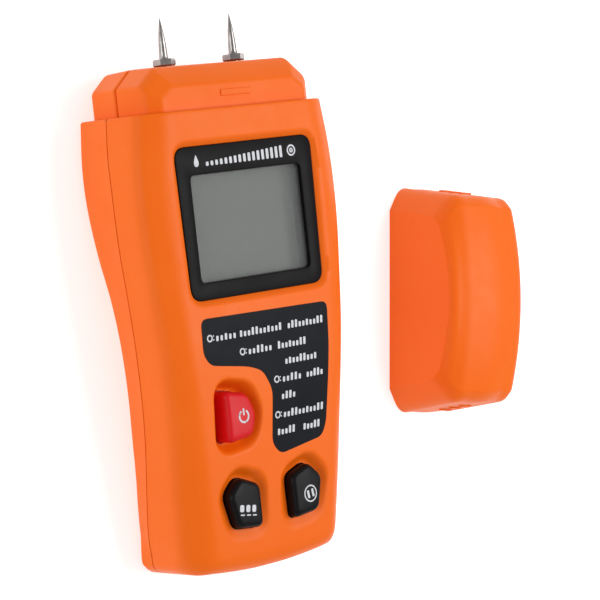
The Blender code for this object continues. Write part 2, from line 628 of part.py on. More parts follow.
def stand_cap(cap):
    """Turn the finished cap so it stands on its mouth beside the meter, front towards -X."""
    middle = Vector((0.0, CAP_MOUTH_Y, 14.25)) * MM
    upright = Matrix(((0, 0, -1), (-1, 0, 0), (0, 1, 0))).to_4x4()
    spin = Matrix.Rotation(math.radians(CAP_TURN_DEG), 4, "Z")
    place = Matrix.Translation(Vector((CAP_STAND_X, CAP_STAND_Y, 0.0)) * MM)
    cap.data.transform(place @ spin @ upright @ Matrix.Translation(-middle))
    return cap


def electrodes():
    for label, x in (("left", -PIN_X), ("right", PIN_X)):
        bore = STUD_RADIUS + STUD_CLEAR
        profile = [(49.6, STUD_RADIUS - 0.2), (49.9, STUD_RADIUS), (NUT_Y[1] - 0.1, STUD_RADIUS),
                   (NUT_Y[1] + 0.1, PIN_RADIUS + 0.1)]
        profile += [(PIN_TIP_Y - back, radius) for back, radius in PIN_POINT]
        turned(f"electrode_pin_{label}", profile, x, PIN_Z, "nickel", SMALL_ROUND)
        nut(f"pin_nut_{label}", x, bore)
        insert = rod(f"threaded_insert_{label}", (x, INSERT_Y[0], PIN_Z), "Y", INSERT_RADIUS,
                     INSERT_Y[1] - INSERT_Y[0], "brass", SMALL_ROUND)
        boolean(insert, rod(f"insert_bore_{label}", (x, INSERT_Y[0] - 1, PIN_Z), "Y", bore, 12.0, "brass",
                            SMALL_ROUND), "DIFFERENCE")
        lug = rod(f"solder_lug_{label}", (x, LUG_Y[0], PIN_Z), "Y", 3.0, LUG_Y[1] - LUG_Y[0], "nickel",
                  SMALL_ROUND)
        boolean(lug, box(f"lug_tail_{label}", (x - 1.0, x + 1.0), LUG_Y, (PIN_Z + 1.0, PIN_Z + 4.6),
                         "nickel"), "UNION")
        boolean(lug, rod(f"lug_bore_{label}", (x, LUG_Y[0] - 1, PIN_Z), "Y", bore, 3.0, "nickel",
                         SMALL_ROUND), "DIFFERENCE")


def nut(name, x, bore):
    """Hexagon nut with chamfered corners at both faces."""
    across = NUT_FLATS / math.sqrt(3)
    rings = []
    for y, reach in ((NUT_Y[0], 0.9), (NUT_Y[0] + 0.35, 1.0), (NUT_Y[1] - 0.35, 1.0), (NUT_Y[1], 0.9)):
        angles = [math.pi / 6 + math.pi * k / 3 for k in range(6)]
        rings.append([(x + across * reach * math.cos(a), y, PIN_Z + across * reach * math.sin(a))
                      for a in angles])
    made = stack(name, rings, "nickel")
    boolean(made, rod(name + "_bore", (x, NUT_Y[0] - 1, PIN_Z), "Y", bore, 5.0, "nickel", SMALL_ROUND),
            "DIFFERENCE")


def board():
    box("circuit_board", (-BOARD_HALF_X, BOARD_HALF_X), BOARD_Y, BOARD_Z, "board_green")
    low = BOARD_Z[0] - 0.05
    high = BOARD_Z[1] + 0.05
    box("control_chip", (-6.0, 6.0), (14.0, 26.0), (low - 1.6, low), "chip_black", bevel=0.15)
    box("amplifier_chip", (-3.0, 3.0), (33.0, 38.0), (low - 1.5, low), "chip_black", bevel=0.15)
    box("crystal", (8.5, 13.0), (17.0, 27.0), (low - 2.6, low), "steel", bevel=0.6)
    box("calibration_trimmer", (-14.5, -8.5), (31.0, 37.0), (low - 4.5, low), "trimmer_blue", bevel=0.2)
    rod("filter_capacitor", (12.5, 35.0, low - 7.0), "Z", 2.6, 7.0, "chip_black", SMALL_ROUND)
    for label, outline in button_outlines().items():
        cx = sum(p[0] for p in outline) / len(outline)
        cy = sum(p[1] for p in outline) / len(outline)
        rings = []
        for share, rise in ((1.0, 0.0), (1.0, 0.08), (0.8, 0.22), (0.5, 0.32), (0.2, DOME_HEIGHT)):
            angles = [2 * math.pi * k / SMALL_ROUND for k in range(SMALL_ROUND)]
            rings.append([(cx + DOME_RADIUS * share * math.cos(a), cy + DOME_RADIUS * share * math.sin(a),
                           high + rise) for a in angles])
        stack(f"{label}_contact_dome", rings, "steel")


def battery():
    box("battery", (-BATTERY_HALF_X, BATTERY_HALF_X), BATTERY_Y, BATTERY_Z, "battery_case", bevel=1.2)
    middle = (BATTERY_Z[0] + BATTERY_Z[1]) / 2
    end = BATTERY_Y[1] + 0.05
    rod("battery_terminal_small", (-6.35, end, middle), "Y", 2.7, 2.4, "steel", SMALL_ROUND)
    rod("battery_terminal_large", (6.35, end, middle), "Y", 4.2, 2.4, "steel", 6)
    y = end + 2.5
    box("battery_snap_connector", (-12.6, 12.6), (y, y + 2.6), (middle - 5.5, middle + 5.5),
        "battery_end", bevel=0.5)
    foam_z = (WALL + 0.2, 18.6)
    box("battery_stop", (-12.0, 12.0), (y + 4.2, y + 6.0), foam_z, "foam")
    x = COVER_HALF_X
    cover = box("battery_cover", (-x, x), COVER_Y, (0.0, COVER_THICK), "orange_abs")
    boolean(cover, bottom_prism("cover_trim"), "INTERSECT")
    for number in range(5):
        groove_y = -14.0 - 2.2 * number
        boolean(cover, box(f"cover_grip_{number}", (-6.0, 6.0), (groove_y, groove_y + 1.0), (-1.0, 0.5),
                           "orange_abs"), "DIFFERENCE")
    lead_y = y + 3.15
    for label, x0 in (("red", 5.0), ("black", -5.0)):
        lead(f"battery_lead_{label}", ((x0, lead_y, middle + 1.0), (x0 * 1.04, lead_y + 0.1, 16.5),
                                       (x0, lead_y, BOARD_Z[0] - 0.05)), 0.4, f"lead_{label}")
    for label, x0 in (("left", -PIN_X), ("right", PIN_X)):
        lead(f"electrode_lead_{label}", ((x0, LUG_Y[0] - 0.55, PIN_Z + 3.8), (x0, 46.0, PIN_Z + 3.4),
                                         (x0, 42.2, 17.6), (x0, 41.6, BOARD_Z[0] - 0.1)), 0.45, "lead_white")


def screws():
    head_low, head_high, tip = SCREW_Z
    for number, (x, y) in enumerate(SCREWS):
        name = f"housing_screw_{number + 1}"
        rings = []
        for z, radius in ((head_low, SCREW_HEAD_RADIUS * 0.75), (head_low + 0.5, SCREW_HEAD_RADIUS),
                          (head_high - 0.05, SCREW_HEAD_RADIUS), (head_high, SCREW_RADIUS),
                          (tip - 1.0, SCREW_RADIUS), (tip, 0.4)):
            angles = [2 * math.pi * k / SMALL_ROUND for k in range(SMALL_ROUND)]
            rings.append([(x + radius * math.cos(a), y + radius * math.sin(a), z) for a in angles])
        made = stack(name, rings, "steel")
        for slot, (sx, sy) in enumerate(((1.5, 0.3), (0.3, 1.5))):
            boolean(made, box(f"{name}_slot_{slot}", (x - sx, x + sx), (y - sy, y + sy),
                              (head_low - 1, head_low + 0.9), "steel"), "DIFFERENCE")


def main():
    clear_objects()
    front_shell()
    rear_shell()
    display()
    group_label()
    button("power_button", button_outlines()["power"], "red_rubber")
    button("mode_button", button_outlines()["mode"], "black_rubber")
    button("hold_button", button_outlines()["hold"], "black_rubber")
    protective_cap()
    electrodes()
    board()
    battery()
    screws()


main()
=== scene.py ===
"""Visual model of a two-pin moisture meter lying on its back, with its cap standing beside it.

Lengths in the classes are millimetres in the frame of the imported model: X is the width, +Y runs
towards the pins, +Z is up out of the display and the origin is the middle of the back.
"""

import json
import logging
import math
from collections.abc import Callable
from dataclasses import dataclass, field
from enum import Enum

import bmesh
import bpy
import numpy as np
from mathutils import Matrix


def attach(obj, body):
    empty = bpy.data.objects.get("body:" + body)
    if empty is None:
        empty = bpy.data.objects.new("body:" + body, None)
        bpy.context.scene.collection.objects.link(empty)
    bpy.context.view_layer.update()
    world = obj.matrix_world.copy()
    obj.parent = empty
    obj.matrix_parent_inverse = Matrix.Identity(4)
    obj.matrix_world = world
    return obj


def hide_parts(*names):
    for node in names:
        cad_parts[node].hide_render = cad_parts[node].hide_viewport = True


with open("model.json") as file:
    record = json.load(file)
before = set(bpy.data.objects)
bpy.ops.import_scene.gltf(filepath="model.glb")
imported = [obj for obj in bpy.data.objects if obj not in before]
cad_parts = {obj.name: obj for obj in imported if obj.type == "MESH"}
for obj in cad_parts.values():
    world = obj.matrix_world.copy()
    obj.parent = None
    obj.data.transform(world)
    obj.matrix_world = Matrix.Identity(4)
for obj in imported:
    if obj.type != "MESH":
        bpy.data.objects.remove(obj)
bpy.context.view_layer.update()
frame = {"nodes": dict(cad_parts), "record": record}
LOG = logging.getLogger("moisture_meter")

MM = 0.001
TINY = 1e-9
Table = tuple[tuple[float, float], ...]
Colour = tuple[float, float, float]


class Body(Enum):
    """Moving bodies of the meter."""

    HOUSING = "housing"
    POWER = "power_key"
    MODE = "mode_key"
    HOLD = "hold_key"
    DOOR = "battery_door"
    CAP = "cap"


class Grain(Enum):
    """Kinds of surface detail that a finish can carry."""

    MOULDED = "moulded"
    BRUSHED = "brushed"
    CAST = "cast"
    TRACKS = "tracks"
    FOAM = "foam"
    BANDS = "bands"


# ---------------------------------------------------------------------------------------------
# Finishes
# ---------------------------------------------------------------------------------------------


def linear(red: int, green: int, blue: int) -> Colour:
    """Scene-linear colour of an 8-bit display colour.

    Args:
        red: Red level, 0 to 255.
        green: Green level, 0 to 255.
        blue: Blue level, 0 to 255.

    Returns:
        The three linear values: below 0.04045 a straight line, above it a power of 2.4.
    """
    share = np.array((red, green, blue)) / 255.0
    curve = np.where(share <= 0.04045, share / 12.92, ((share + 0.055) / 1.055) ** 2.4)
    return tuple(float(value) for value in curve)


@dataclass(frozen=True)
class Finish:
    """Procedural surface: two close colours, a roughness range and a grain in true millimetres."""

    name: str
    colour: Colour
    second: Colour
    roughness: tuple[float, float] = (0.4, 0.5)
    metallic: float = 0.0
    grain: Grain = Grain.MOULDED
    grain_mm: float = 0.35
    depth_mm: float = 0.006
    patch_mm: float = 14.0
    coat: float = 0.0
    coat_roughness: float = 0.1
    specular: float = 0.5
    alpha: float = 1.0
    subsurface: float = 0.0
    glow: float = 0.0
    stretch: tuple[float, float, float] = (1.0, 1.0, 1.0)

    def _noise(self, tree: bpy.types.NodeTree, size_mm: float, detail: float,
               stretched: bool) -> bpy.types.NodeSocket:
        """Noise field of a given feature size on the piece's own coordinates.

        Args:
            tree: Node tree that takes the nodes.
            size_mm: Size of one feature.
            detail: Number of finer octaves.
            stretched: Whether the features follow the finish's stretch.

        Returns:
            The noise value socket.
        """
        place = tree.nodes.new("ShaderNodeTexCoord")
        turn = tree.nodes.new("ShaderNodeMapping")
        if stretched:
            turn.inputs["Scale"].default_value = self.stretch
        noise = tree.nodes.new("ShaderNodeTexNoise")
        noise.inputs["Scale"].default_value = 1.0 / (size_mm * MM)
        noise.inputs["Detail"].default_value = detail
        tree.links.new(place.outputs["Object"], turn.inputs["Vector"])
        tree.links.new(turn.outputs["Vector"], noise.inputs["Vector"])
        return noise.outputs["Fac"]

    def _pattern(self, tree: bpy.types.NodeTree) -> bpy.types.NodeSocket:
        """Relief field of the finish's grain.

        Args:
            tree: Node tree that takes the nodes.

        Returns:
            A value socket between 0 and 1.
        """
        if self.grain is Grain.BRUSHED:
            return self._noise(tree, self.grain_mm, 3.0, True)
        if self.grain in (Grain.MOULDED, Grain.CAST):
            return self._noise(tree, self.grain_mm, 2.0 if self.grain is Grain.MOULDED else 5.0, False)
        place = tree.nodes.new("ShaderNodeTexCoord")
        turn = tree.nodes.new("ShaderNodeMapping")
        turn.inputs["Scale"].default_value = self.stretch
        tree.links.new(place.outputs["Object"], turn.inputs["Vector"])
        if self.grain is Grain.BANDS:
            bands = tree.nodes.new("ShaderNodeTexWave")
            bands.inputs["Scale"].default_value = 1.0 / (self.grain_mm * MM)
            bands.inputs["Distortion"].default_value = 0.0
            tree.links.new(turn.outputs["Vector"], bands.inputs["Vector"])
            return bands.outputs["Fac"]
        cells = tree.nodes.new("ShaderNodeTexVoronoi")
        cells.inputs["Scale"].default_value = 1.0 / (self.grain_mm * MM)
        if self.grain is Grain.TRACKS:
            cells.distance = "CHEBYCHEV"
        tree.links.new(turn.outputs["Vector"], cells.inputs["Vector"])
        return cells.outputs["Distance"]

    def material(self) -> bpy.types.Material:
        """Build the material once and hand the same one out afterwards.

        Returns:
            The material of this finish.
        """
        known = bpy.data.materials.get(self.name)
        if known:
            return known
        made = bpy.data.materials.new(self.name)
        made.use_nodes = True
        tree = made.node_tree
        shader = tree.nodes["Principled BSDF"]
        shader.inputs["Metallic"].default_value = self.metallic
        shader.inputs["Coat Weight"].default_value = self.coat
        shader.inputs["Coat Roughness"].default_value = self.coat_roughness
        shader.inputs["Specular IOR Level"].default_value = self.specular
        shader.inputs["Alpha"].default_value = self.alpha
        if self.subsurface:
            shader.inputs["Subsurface Weight"].default_value = self.subsurface
            shader.inputs["Subsurface Scale"].default_value = 0.0012
        if self.glow:
            shader.inputs["Emission Color"].default_value = (1.0, 1.0, 1.0, 1.0)
            shader.inputs["Emission Strength"].default_value = self.glow
        self._paint(tree, shader)
        made.diffuse_color = (*self.colour, 1.0)
        return made

    def _paint(self, tree: bpy.types.NodeTree, shader: bpy.types.Node) -> None:
        """Wire colour, roughness and relief into the shader.

        Args:
            tree: Node tree of the material.
            shader: Its principled shader.
        """
        patch = self._noise(tree, self.patch_mm, 2.0, False)
        pattern = self._pattern(tree)
        sharp = self.grain in (Grain.TRACKS, Grain.BANDS, Grain.FOAM)
        ramp = tree.nodes.new("ShaderNodeValToRGB")
        ramp.color_ramp.elements[0].position = 0.42 if sharp else 0.3
        ramp.color_ramp.elements[1].position = 0.58 if sharp else 0.7
        ramp.color_ramp.elements[0].color = (*self.colour, 1.0)
        ramp.color_ramp.elements[1].color = (*self.second, 1.0)
        tree.links.new(pattern if sharp else patch, ramp.inputs["Fac"])
        tree.links.new(ramp.outputs["Color"], shader.inputs["Base Color"])
        rough = tree.nodes.new("ShaderNodeMapRange")
        rough.inputs["From Min"].default_value = 0.3
        rough.inputs["From Max"].default_value = 0.7
        rough.inputs["To Min"].default_value = self.roughness[0]
        rough.inputs["To Max"].default_value = self.roughness[1]
        tree.links.new(self._noise(tree, self.patch_mm * 0.37, 4.0, True), rough.inputs["Value"])
        tree.links.new(rough.outputs["Result"], shader.inputs["Roughness"])
        bump = tree.nodes.new("ShaderNodeBump")
        bump.inputs["Strength"].default_value = 1.0
        bump.inputs["Distance"].default_value = self.depth_mm * MM
        tree.links.new(pattern, bump.inputs["Height"])
        tree.links.new(bump.outputs["Normal"], shader.inputs["Normal"])


FINISHES: dict[str, Finish] = {
    "orange_abs": Finish("moulded_orange", (0.88, 0.138, 0.001), (0.89, 0.146, 0.003), (0.4, 0.5),
                         grain_mm=0.32, depth_mm=0.0035, specular=0.22, subsurface=0.06),
    "black_plastic": Finish("gloss_black", linear(15, 13, 15), linear(18, 16, 18), (0.34, 0.42),
                            grain_mm=0.5, depth_mm=0.002, specular=0.07),
    "label_print": Finish("printed_film", linear(18, 20, 25), linear(22, 24, 29), (0.42, 0.5),
                          grain_mm=0.22, depth_mm=0.003, specular=0.08),
    "red_rubber": Finish("red_key", linear(208, 10, 22), linear(214, 14, 26), (0.36, 0.44),
                         grain_mm=0.25, depth_mm=0.003, specular=0.22, subsurface=0.04),
    "black_rubber": Finish("black_key", linear(12, 12, 14), linear(15, 14, 16), (0.34, 0.42),
                           grain_mm=0.25, depth_mm=0.003, specular=0.12),
    "clear_lens": Finish("clear_window", linear(225, 230, 228), linear(228, 232, 230), (0.04, 0.07),
                         grain_mm=3.0, depth_mm=0.0005, specular=0.25, alpha=0.08),
    "lcd_grey": Finish("liquid_crystal", linear(62, 64, 58), linear(66, 68, 62), (0.3, 0.36),
                       grain_mm=0.12, depth_mm=0.0008, patch_mm=30.0, specular=0.15),
    "nickel": Finish("nickel_plate", linear(168, 163, 160), linear(140, 136, 134), (0.12, 0.22), 1.0,
                     Grain.BRUSHED, 0.12, 0.002, 2.0, stretch=(1.0, 0.08, 1.0)),
    "brass": Finish("turned_brass", linear(214, 170, 92), linear(196, 150, 74), (0.24, 0.34), 1.0,
                    Grain.BRUSHED, 0.12, 0.003, 2.0, stretch=(0.15, 1.0, 0.15)),
    "board_green": Finish("solder_mask", linear(18, 92, 46), linear(34, 116, 62), (0.3, 0.42),
                          grain=Grain.TRACKS, grain_mm=1.6, depth_mm=0.02, coat=0.3),
    "chip_black": Finish("chip_moulding", linear(38, 38, 41), linear(46, 46, 49), (0.5, 0.6),
                         grain=Grain.CAST, grain_mm=0.15, depth_mm=0.006),
    "silicone": Finish("contact_silicone", linear(205, 203, 196), linear(96, 96, 98), (0.55, 0.65),
                       grain=Grain.BANDS, grain_mm=1.0, depth_mm=0.004),
    "battery_case": Finish("battery_jacket", linear(52, 54, 60), linear(66, 68, 75), (0.28, 0.36), 0.5,
                           Grain.BRUSHED, 0.3, 0.003, 9.0, stretch=(1.0, 0.1, 1.0), coat=0.3),
    "battery_end": Finish("snap_moulding", linear(30, 30, 32), linear(37, 37, 40), (0.5, 0.6),
                          grain=Grain.CAST, grain_mm=0.3, depth_mm=0.008),
    "steel": Finish("bright_steel", linear(190, 190, 193), linear(172, 172, 176), (0.22, 0.34), 1.0,
                    Grain.BRUSHED, 0.2, 0.003, 2.5, stretch=(1.0, 0.2, 1.0)),
    "lead_red": Finish("red_insulation", linear(186, 24, 28), linear(170, 20, 24), (0.4, 0.5),
                       grain_mm=0.3, depth_mm=0.004, patch_mm=3.0),
    "lead_black": Finish("black_insulation", linear(26, 26, 28), linear(34, 34, 36), (0.4, 0.5),
                         grain_mm=0.3, depth_mm=0.004, patch_mm=3.0),
    "lead_white": Finish("white_insulation", linear(226, 224, 218), linear(210, 208, 202), (0.4, 0.5),
                         grain_mm=0.3, depth_mm=0.004, patch_mm=3.0),
    "foam": Finish("dark_foam", linear(54, 54, 57), linear(34, 34, 36), (0.85, 0.95),
                   grain=Grain.FOAM, grain_mm=0.5, depth_mm=0.12, specular=0.2),
    "trimmer_blue": Finish("trimmer_moulding", linear(38, 92, 178), linear(46, 102, 190), (0.4, 0.5),
                           grain=Grain.CAST, grain_mm=0.25, depth_mm=0.006),
}
PRINT = Finish("white_print", linear(214, 216, 220), linear(196, 199, 204), (0.5, 0.6), grain_mm=0.12,
               depth_mm=0.004, patch_mm=0.8)
PALE_FLOOR = Finish("pale_sweep", (0.72, 0.72, 0.72), (0.73, 0.73, 0.73), (0.7, 0.8), grain_mm=2.0,
                    depth_mm=0.01, patch_mm=80.0, specular=0.1, glow=0.62)


# ---------------------------------------------------------------------------------------------
# Curves, outlines and surfaces
# ---------------------------------------------------------------------------------------------


def along(table: Table, at: np.ndarray | float) -> np.ndarray:
    """Smooth value of a table of (position, value) pairs.

    Between two rows the value is the cubic that meets both values and the slopes there, which are
    central differences of the table.

    Args:
        table: Rows sorted by rising position.
        at: Positions, clamped to the table.

    Returns:
        Values at those positions.
    """
    xs, vs = np.array(table).T
    slopes = np.gradient(vs, xs)
    at = np.clip(np.asarray(at, float), xs[0], xs[-1])
    i = np.clip(np.searchsorted(xs, at) - 1, 0, len(xs) - 2)
    h = xs[i + 1] - xs[i]
    t = (at - xs[i]) / h
    rise = t * t * (3 - 2 * t)
    return (vs[i] * (1 - rise) + vs[i + 1] * rise + h * slopes[i] * (t**3 - 2 * t**2 + t)
            + h * slopes[i + 1] * (t**3 - t**2))


def ease(t: np.ndarray) -> np.ndarray:
    """Smooth step: three t squared less two t cubed, with t clamped to 0 and 1."""
    t = np.clip(t, 0.0, 1.0)
    return t * t * (3 - 2 * t)


def soften(outline: np.ndarray, radius: float, steps: int) -> np.ndarray:
    """Round every corner of a closed outline.

    Each corner becomes a quadratic curve that starts and ends one reach away from it, where the
    reach is the radius or 45 percent of the shorter side.

    Args:
        outline: Corner points, one row each.
        radius: Reach of the rounding.
        steps: Spans per corner.

    Returns:
        The rounded outline, steps + 1 points for each corner.
    """
    here = np.asarray(outline, float)
    back = np.roll(here, 1, axis=0) - here
    ahead = np.roll(here, -1, axis=0) - here
    back_len = np.linalg.norm(back, axis=1, keepdims=True)
    ahead_len = np.linalg.norm(ahead, axis=1, keepdims=True)
    reach = np.minimum(radius, 0.45 * np.minimum(back_len, ahead_len))
    start = (here + back / back_len * reach)[:, None]
    end = (here + ahead / ahead_len * reach)[:, None]
    t = np.linspace(0.0, 1.0, steps + 1)[None, :, None]
    curve = start * (1 - t) ** 2 + here[:, None] * 2 * t * (1 - t) + end * t**2
    return curve.reshape(-1, 2)


def grow(outline: np.ndarray, amount: float) -> np.ndarray:
    """Move a closed outline outwards along the middle of its two side normals at each corner.

    Args:
        outline: Corner points.
        amount: Distance between the old and new sides.

    Returns:
        The moved outline.
    """
    here = np.asarray(outline, float)
    first = here - np.roll(here, 1, axis=0)
    second = np.roll(here, -1, axis=0) - here
    before = np.roll(here, 1, axis=0)
    side = np.sign(np.sum(before[:, 0] * here[:, 1] - here[:, 0] * before[:, 1]))
    first /= np.linalg.norm(first, axis=1, keepdims=True)
    second /= np.linalg.norm(second, axis=1, keepdims=True)
    normal_a = np.stack((first[:, 1], -first[:, 0]), axis=1) * side
    normal_b = np.stack((second[:, 1], -second[:, 0]), axis=1) * side
    middle = normal_a + normal_b
    middle /= np.linalg.norm(middle, axis=1, keepdims=True)
    share = np.maximum(0.5, np.sum(middle * normal_a, axis=1, keepdims=True))
    return here + middle * amount / share


def edge_distance(points: np.ndarray, outline: np.ndarray) -> tuple[np.ndarray, np.ndarray]:
    """Signed distance from points to a closed outline, negative inside it.

    The distance is the smallest over the outline's sides, and the sign comes from how many sides a
    line towards +X crosses.

    Args:
        points: Points, one row each.
        outline: Closed outline.

    Returns:
        The distances, and the nearest spot on the outline for each point.
    """
    start = np.asarray(outline, float)
    end = np.roll(start, -1, axis=0)
    side = end - start
    away = points[:, None] - start[None]
    t = np.clip(np.sum(away * side, axis=2) / (np.sum(side * side, axis=1) + TINY), 0.0, 1.0)
    spots = start[None] + t[..., None] * side[None]
    gaps = np.linalg.norm(points[:, None] - spots, axis=2)
    best = gaps.argmin(axis=1)
    rows = np.arange(len(points))
    px, py = points[:, 0][:, None], points[:, 1][:, None]
    spans = (start[None, :, 1] > py) != (end[None, :, 1] > py)
    rise = np.where(np.abs(side[:, 1]) < TINY, TINY, side[:, 1])
    crossing = start[None, :, 0] + (py - start[None, :, 1]) * (side[:, 0] / rise)[None]
    inside = np.sum(spans & (px < crossing), axis=1) % 2 == 1
    return np.where(inside, -gaps[rows, best], gaps[rows, best]), spots[rows, best]


def grid_faces(rows: int, columns: int, wrap: bool = False) -> np.ndarray:
    """Quads of a grid whose points are listed row by row.

    Args:
        rows: Number of rows of points.
        columns: Number of points in a row.
        wrap: Whether the last column joins the first.

    Returns:
        Four point numbers for each quad.
    """
    row, column = np.meshgrid(np.arange(rows - 1), np.arange(columns - (not wrap)), indexing="ij")
    ahead = (column + 1) % columns
    corners = (row * columns + column, row * columns + ahead, (row + 1) * columns + ahead,
               (row + 1) * columns + column)
    return np.stack(corners, axis=-1).reshape(-1, 4)


@dataclass
class Maker:
    """Turns point arrays into finished pieces."""

    sharp_deg: float = 34.0

    def piece(self, name: str, points: np.ndarray, faces: list | np.ndarray, slot: str, body: Body,
              replaced: tuple[str, ...] = (), finish: Finish | None = None, wall: float = 0.0,
              bevel: float = 0.0, closed: bool = True, bevel_deg: float = 24.0) -> bpy.types.Object:
        """Make one piece from points in millimetres.

        Args:
            name: Name of the piece.
            points: Points, one row each.
            faces: Point numbers of each face.
            slot: Material slot of the record.
            body: Body that carries the piece.
            replaced: CAD nodes that it stands for.
            finish: Finish, where it is not the slot's own.
            wall: Thickness to give an open surface, inwards.
            bevel: Width of the eased edges.
            closed: Whether the surface is closed, so that its faces can be turned outwards.
            bevel_deg: Smallest angle of an edge that is eased.

        Returns:
            The new object.
        """
        mesh = bpy.data.meshes.new(name)
        mesh.from_pydata((np.asarray(points) * MM).tolist(), [], [tuple(map(int, f)) for f in faces])
        self.weld(mesh, closed)
        made = bpy.data.objects.new(name, mesh)
        bpy.context.scene.collection.objects.link(made)
        if wall:
            self.thicken(made, wall)
        if bevel:
            self.ease_edges(made, bevel, bevel_deg)
        self.smooth(made.data)
        return self.dress(made, slot, body, replaced, finish)

    @staticmethod
    def weld(mesh: bpy.types.Mesh, closed: bool) -> None:
        """Merge points that share a place, and turn a closed surface's faces outwards.

        Args:
            mesh: Mesh to change.
            closed: Whether the surface is closed.
        """
        bm = bmesh.new()
        bm.from_mesh(mesh)
        bmesh.ops.remove_doubles(bm, verts=bm.verts, dist=2e-6)
        bmesh.ops.dissolve_degenerate(bm, edges=bm.edges, dist=1e-7)
        if closed:
            bmesh.ops.recalc_face_normals(bm, faces=bm.faces)
        bm.to_mesh(mesh)
        bm.free()

    def thicken(self, made: bpy.types.Object, wall: float) -> None:
        """Give an open surface its wall and keep the result as the object's mesh.

        Args:
            made: Object with the open surface.
            wall: Thickness of the wall, inwards.
        """
        step = made.modifiers.new("wall", "SOLIDIFY")
        step.thickness = wall * MM
        step.offset = -1.0
        self.bake(made)

    @staticmethod
    def ease_edges(made: bpy.types.Object, width: float, angle_deg: float) -> None:
        """Round the edges that are sharper than an angle, and keep broad faces flat.

        Args:
            made: Object to change.
            width: Width of the rounding.
            angle_deg: Smallest angle that is rounded.
        """
        step = made.modifiers.new("eased_edges", "BEVEL")
        step.width = width * MM
        step.segments = 3
        step.limit_method = "ANGLE"
        step.angle_limit = math.radians(angle_deg)
        step.harden_normals = True

    @staticmethod
    def bake(made: bpy.types.Object) -> None:
        """Replace the object's mesh by what its modifiers make of it.

        Args:
            made: Object to change.
        """
        graph = bpy.context.evaluated_depsgraph_get()
        graph.update()
        mesh = bpy.data.meshes.new_from_object(made.evaluated_get(graph))
        made.modifiers.clear()
        old = made.data
        made.data = mesh
        bpy.data.meshes.remove(old)

    def smooth(self, mesh: bpy.types.Mesh) -> None:
        """Shade a mesh smoothly, apart from its sharp edges."""
        mesh.polygons.foreach_set("use_smooth", np.ones(len(mesh.polygons), bool))
        mesh.set_sharp_from_angle(angle=math.radians(self.sharp_deg))

    @staticmethod
    def dress(made: bpy.types.Object, slot: str, body: Body, replaced: tuple[str, ...] = (),
              finish: Finish | None = None) -> bpy.types.Object:
        """Give a piece its material, its body and the nodes that it stands for.

        Args:
            made: The piece.
            slot: Material slot of the record.
            body: Body that carries it.
            replaced: CAD nodes that it stands for.
            finish: Finish, where it is not the slot's own.

        Returns:
            The same piece.
        """
        made.data.materials.clear()
        made.data.materials.append((finish or FINISHES[slot]).material())
        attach(made, body.value)
        if replaced:
            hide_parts(*replaced)
        LOG.info("%s rides on %s", made.name, body.value)
        return made

    def softened(self, node: str, body: Body, slot: str, bevel: float) -> bpy.types.Object:
        """Copy of a CAD node with merged points and eased edges, which stands for that node.

        Args:
            node: Name of the CAD node.
            body: Body that carries it.
            slot: Material slot of the record.
            bevel: Width of the eased edges.

        Returns:
            The new object.
        """
        mesh = frame["nodes"][node].data.copy()
        mesh.name = f"{node}_finished"
        bm = bmesh.new()
        bm.from_mesh(mesh)
        bmesh.ops.remove_doubles(bm, verts=bm.verts, dist=1e-6)
        bmesh.ops.dissolve_limit(bm, angle_limit=math.radians(0.6), verts=bm.verts, edges=bm.edges)
        bmesh.ops.recalc_face_normals(bm, faces=bm.faces)
        bm.to_mesh(mesh)
        bm.free()
        made = bpy.data.objects.new(mesh.name, mesh)
        bpy.context.scene.collection.objects.link(made)
        self.ease_edges(made, bevel, 28.0)
        self.smooth(mesh)
        return self.dress(made, slot, body, (node,))


MAKER = Maker()


def stacked(rings: list[np.ndarray]) -> tuple[np.ndarray, list]:
    """Closed surface through rings of equal length, with a flat face at each end.

    Args:
        rings: Rings of points, one array each.

    Returns:
        All points, and the faces.
    """
    count = len(rings[0])
    faces = [tuple(f) for f in grid_faces(len(rings), count, wrap=True)]
    faces.append(tuple(range(count))[::-1])
    faces.append(tuple(range((len(rings) - 1) * count, len(rings) * count)))
    return np.concatenate(rings), faces


def revolve(profile: np.ndarray, sides: int, x: float, z: float) -> tuple[np.ndarray, list]:
    """Surface of revolution about a line along Y.

    A point at (y, r) of the profile goes to x + r cos a, y, z + r sin a, for angles all the way
    round.

    Args:
        profile: Rows of position along Y and radius.
        sides: Number of angles.
        x: Place of the axis along X.
        z: Height of the axis.

    Returns:
        Points and faces of the closed surface.
    """
    angle = np.linspace(0.0, 2 * math.pi, sides, endpoint=False)
    y = np.repeat(profile[:, 0][:, None], sides, axis=1)
    ring = np.stack((x + profile[:, 1][:, None] * np.cos(angle), y,
                     z + profile[:, 1][:, None] * np.sin(angle)), axis=-1)
    return stacked(list(ring))


def block(x: tuple[float, float], y: tuple[float, float], z: tuple[float, float]) -> tuple[np.ndarray, list]:
    """Corners and faces of a straight block.

    Args:
        x: Lower and upper bound along X.
        y: Lower and upper bound along Y.
        z: Lower and upper bound along Z.

    Returns:
        Points and faces of the closed block.
    """
    corner = np.array([(x[0], y[0]), (x[1], y[0]), (x[1], y[1]), (x[0], y[1])])
    rings = [np.column_stack((corner, np.full(4, height))) for height in z]
    return stacked(rings)


# ---------------------------------------------------------------------------------------------
# Case halves
# ---------------------------------------------------------------------------------------------

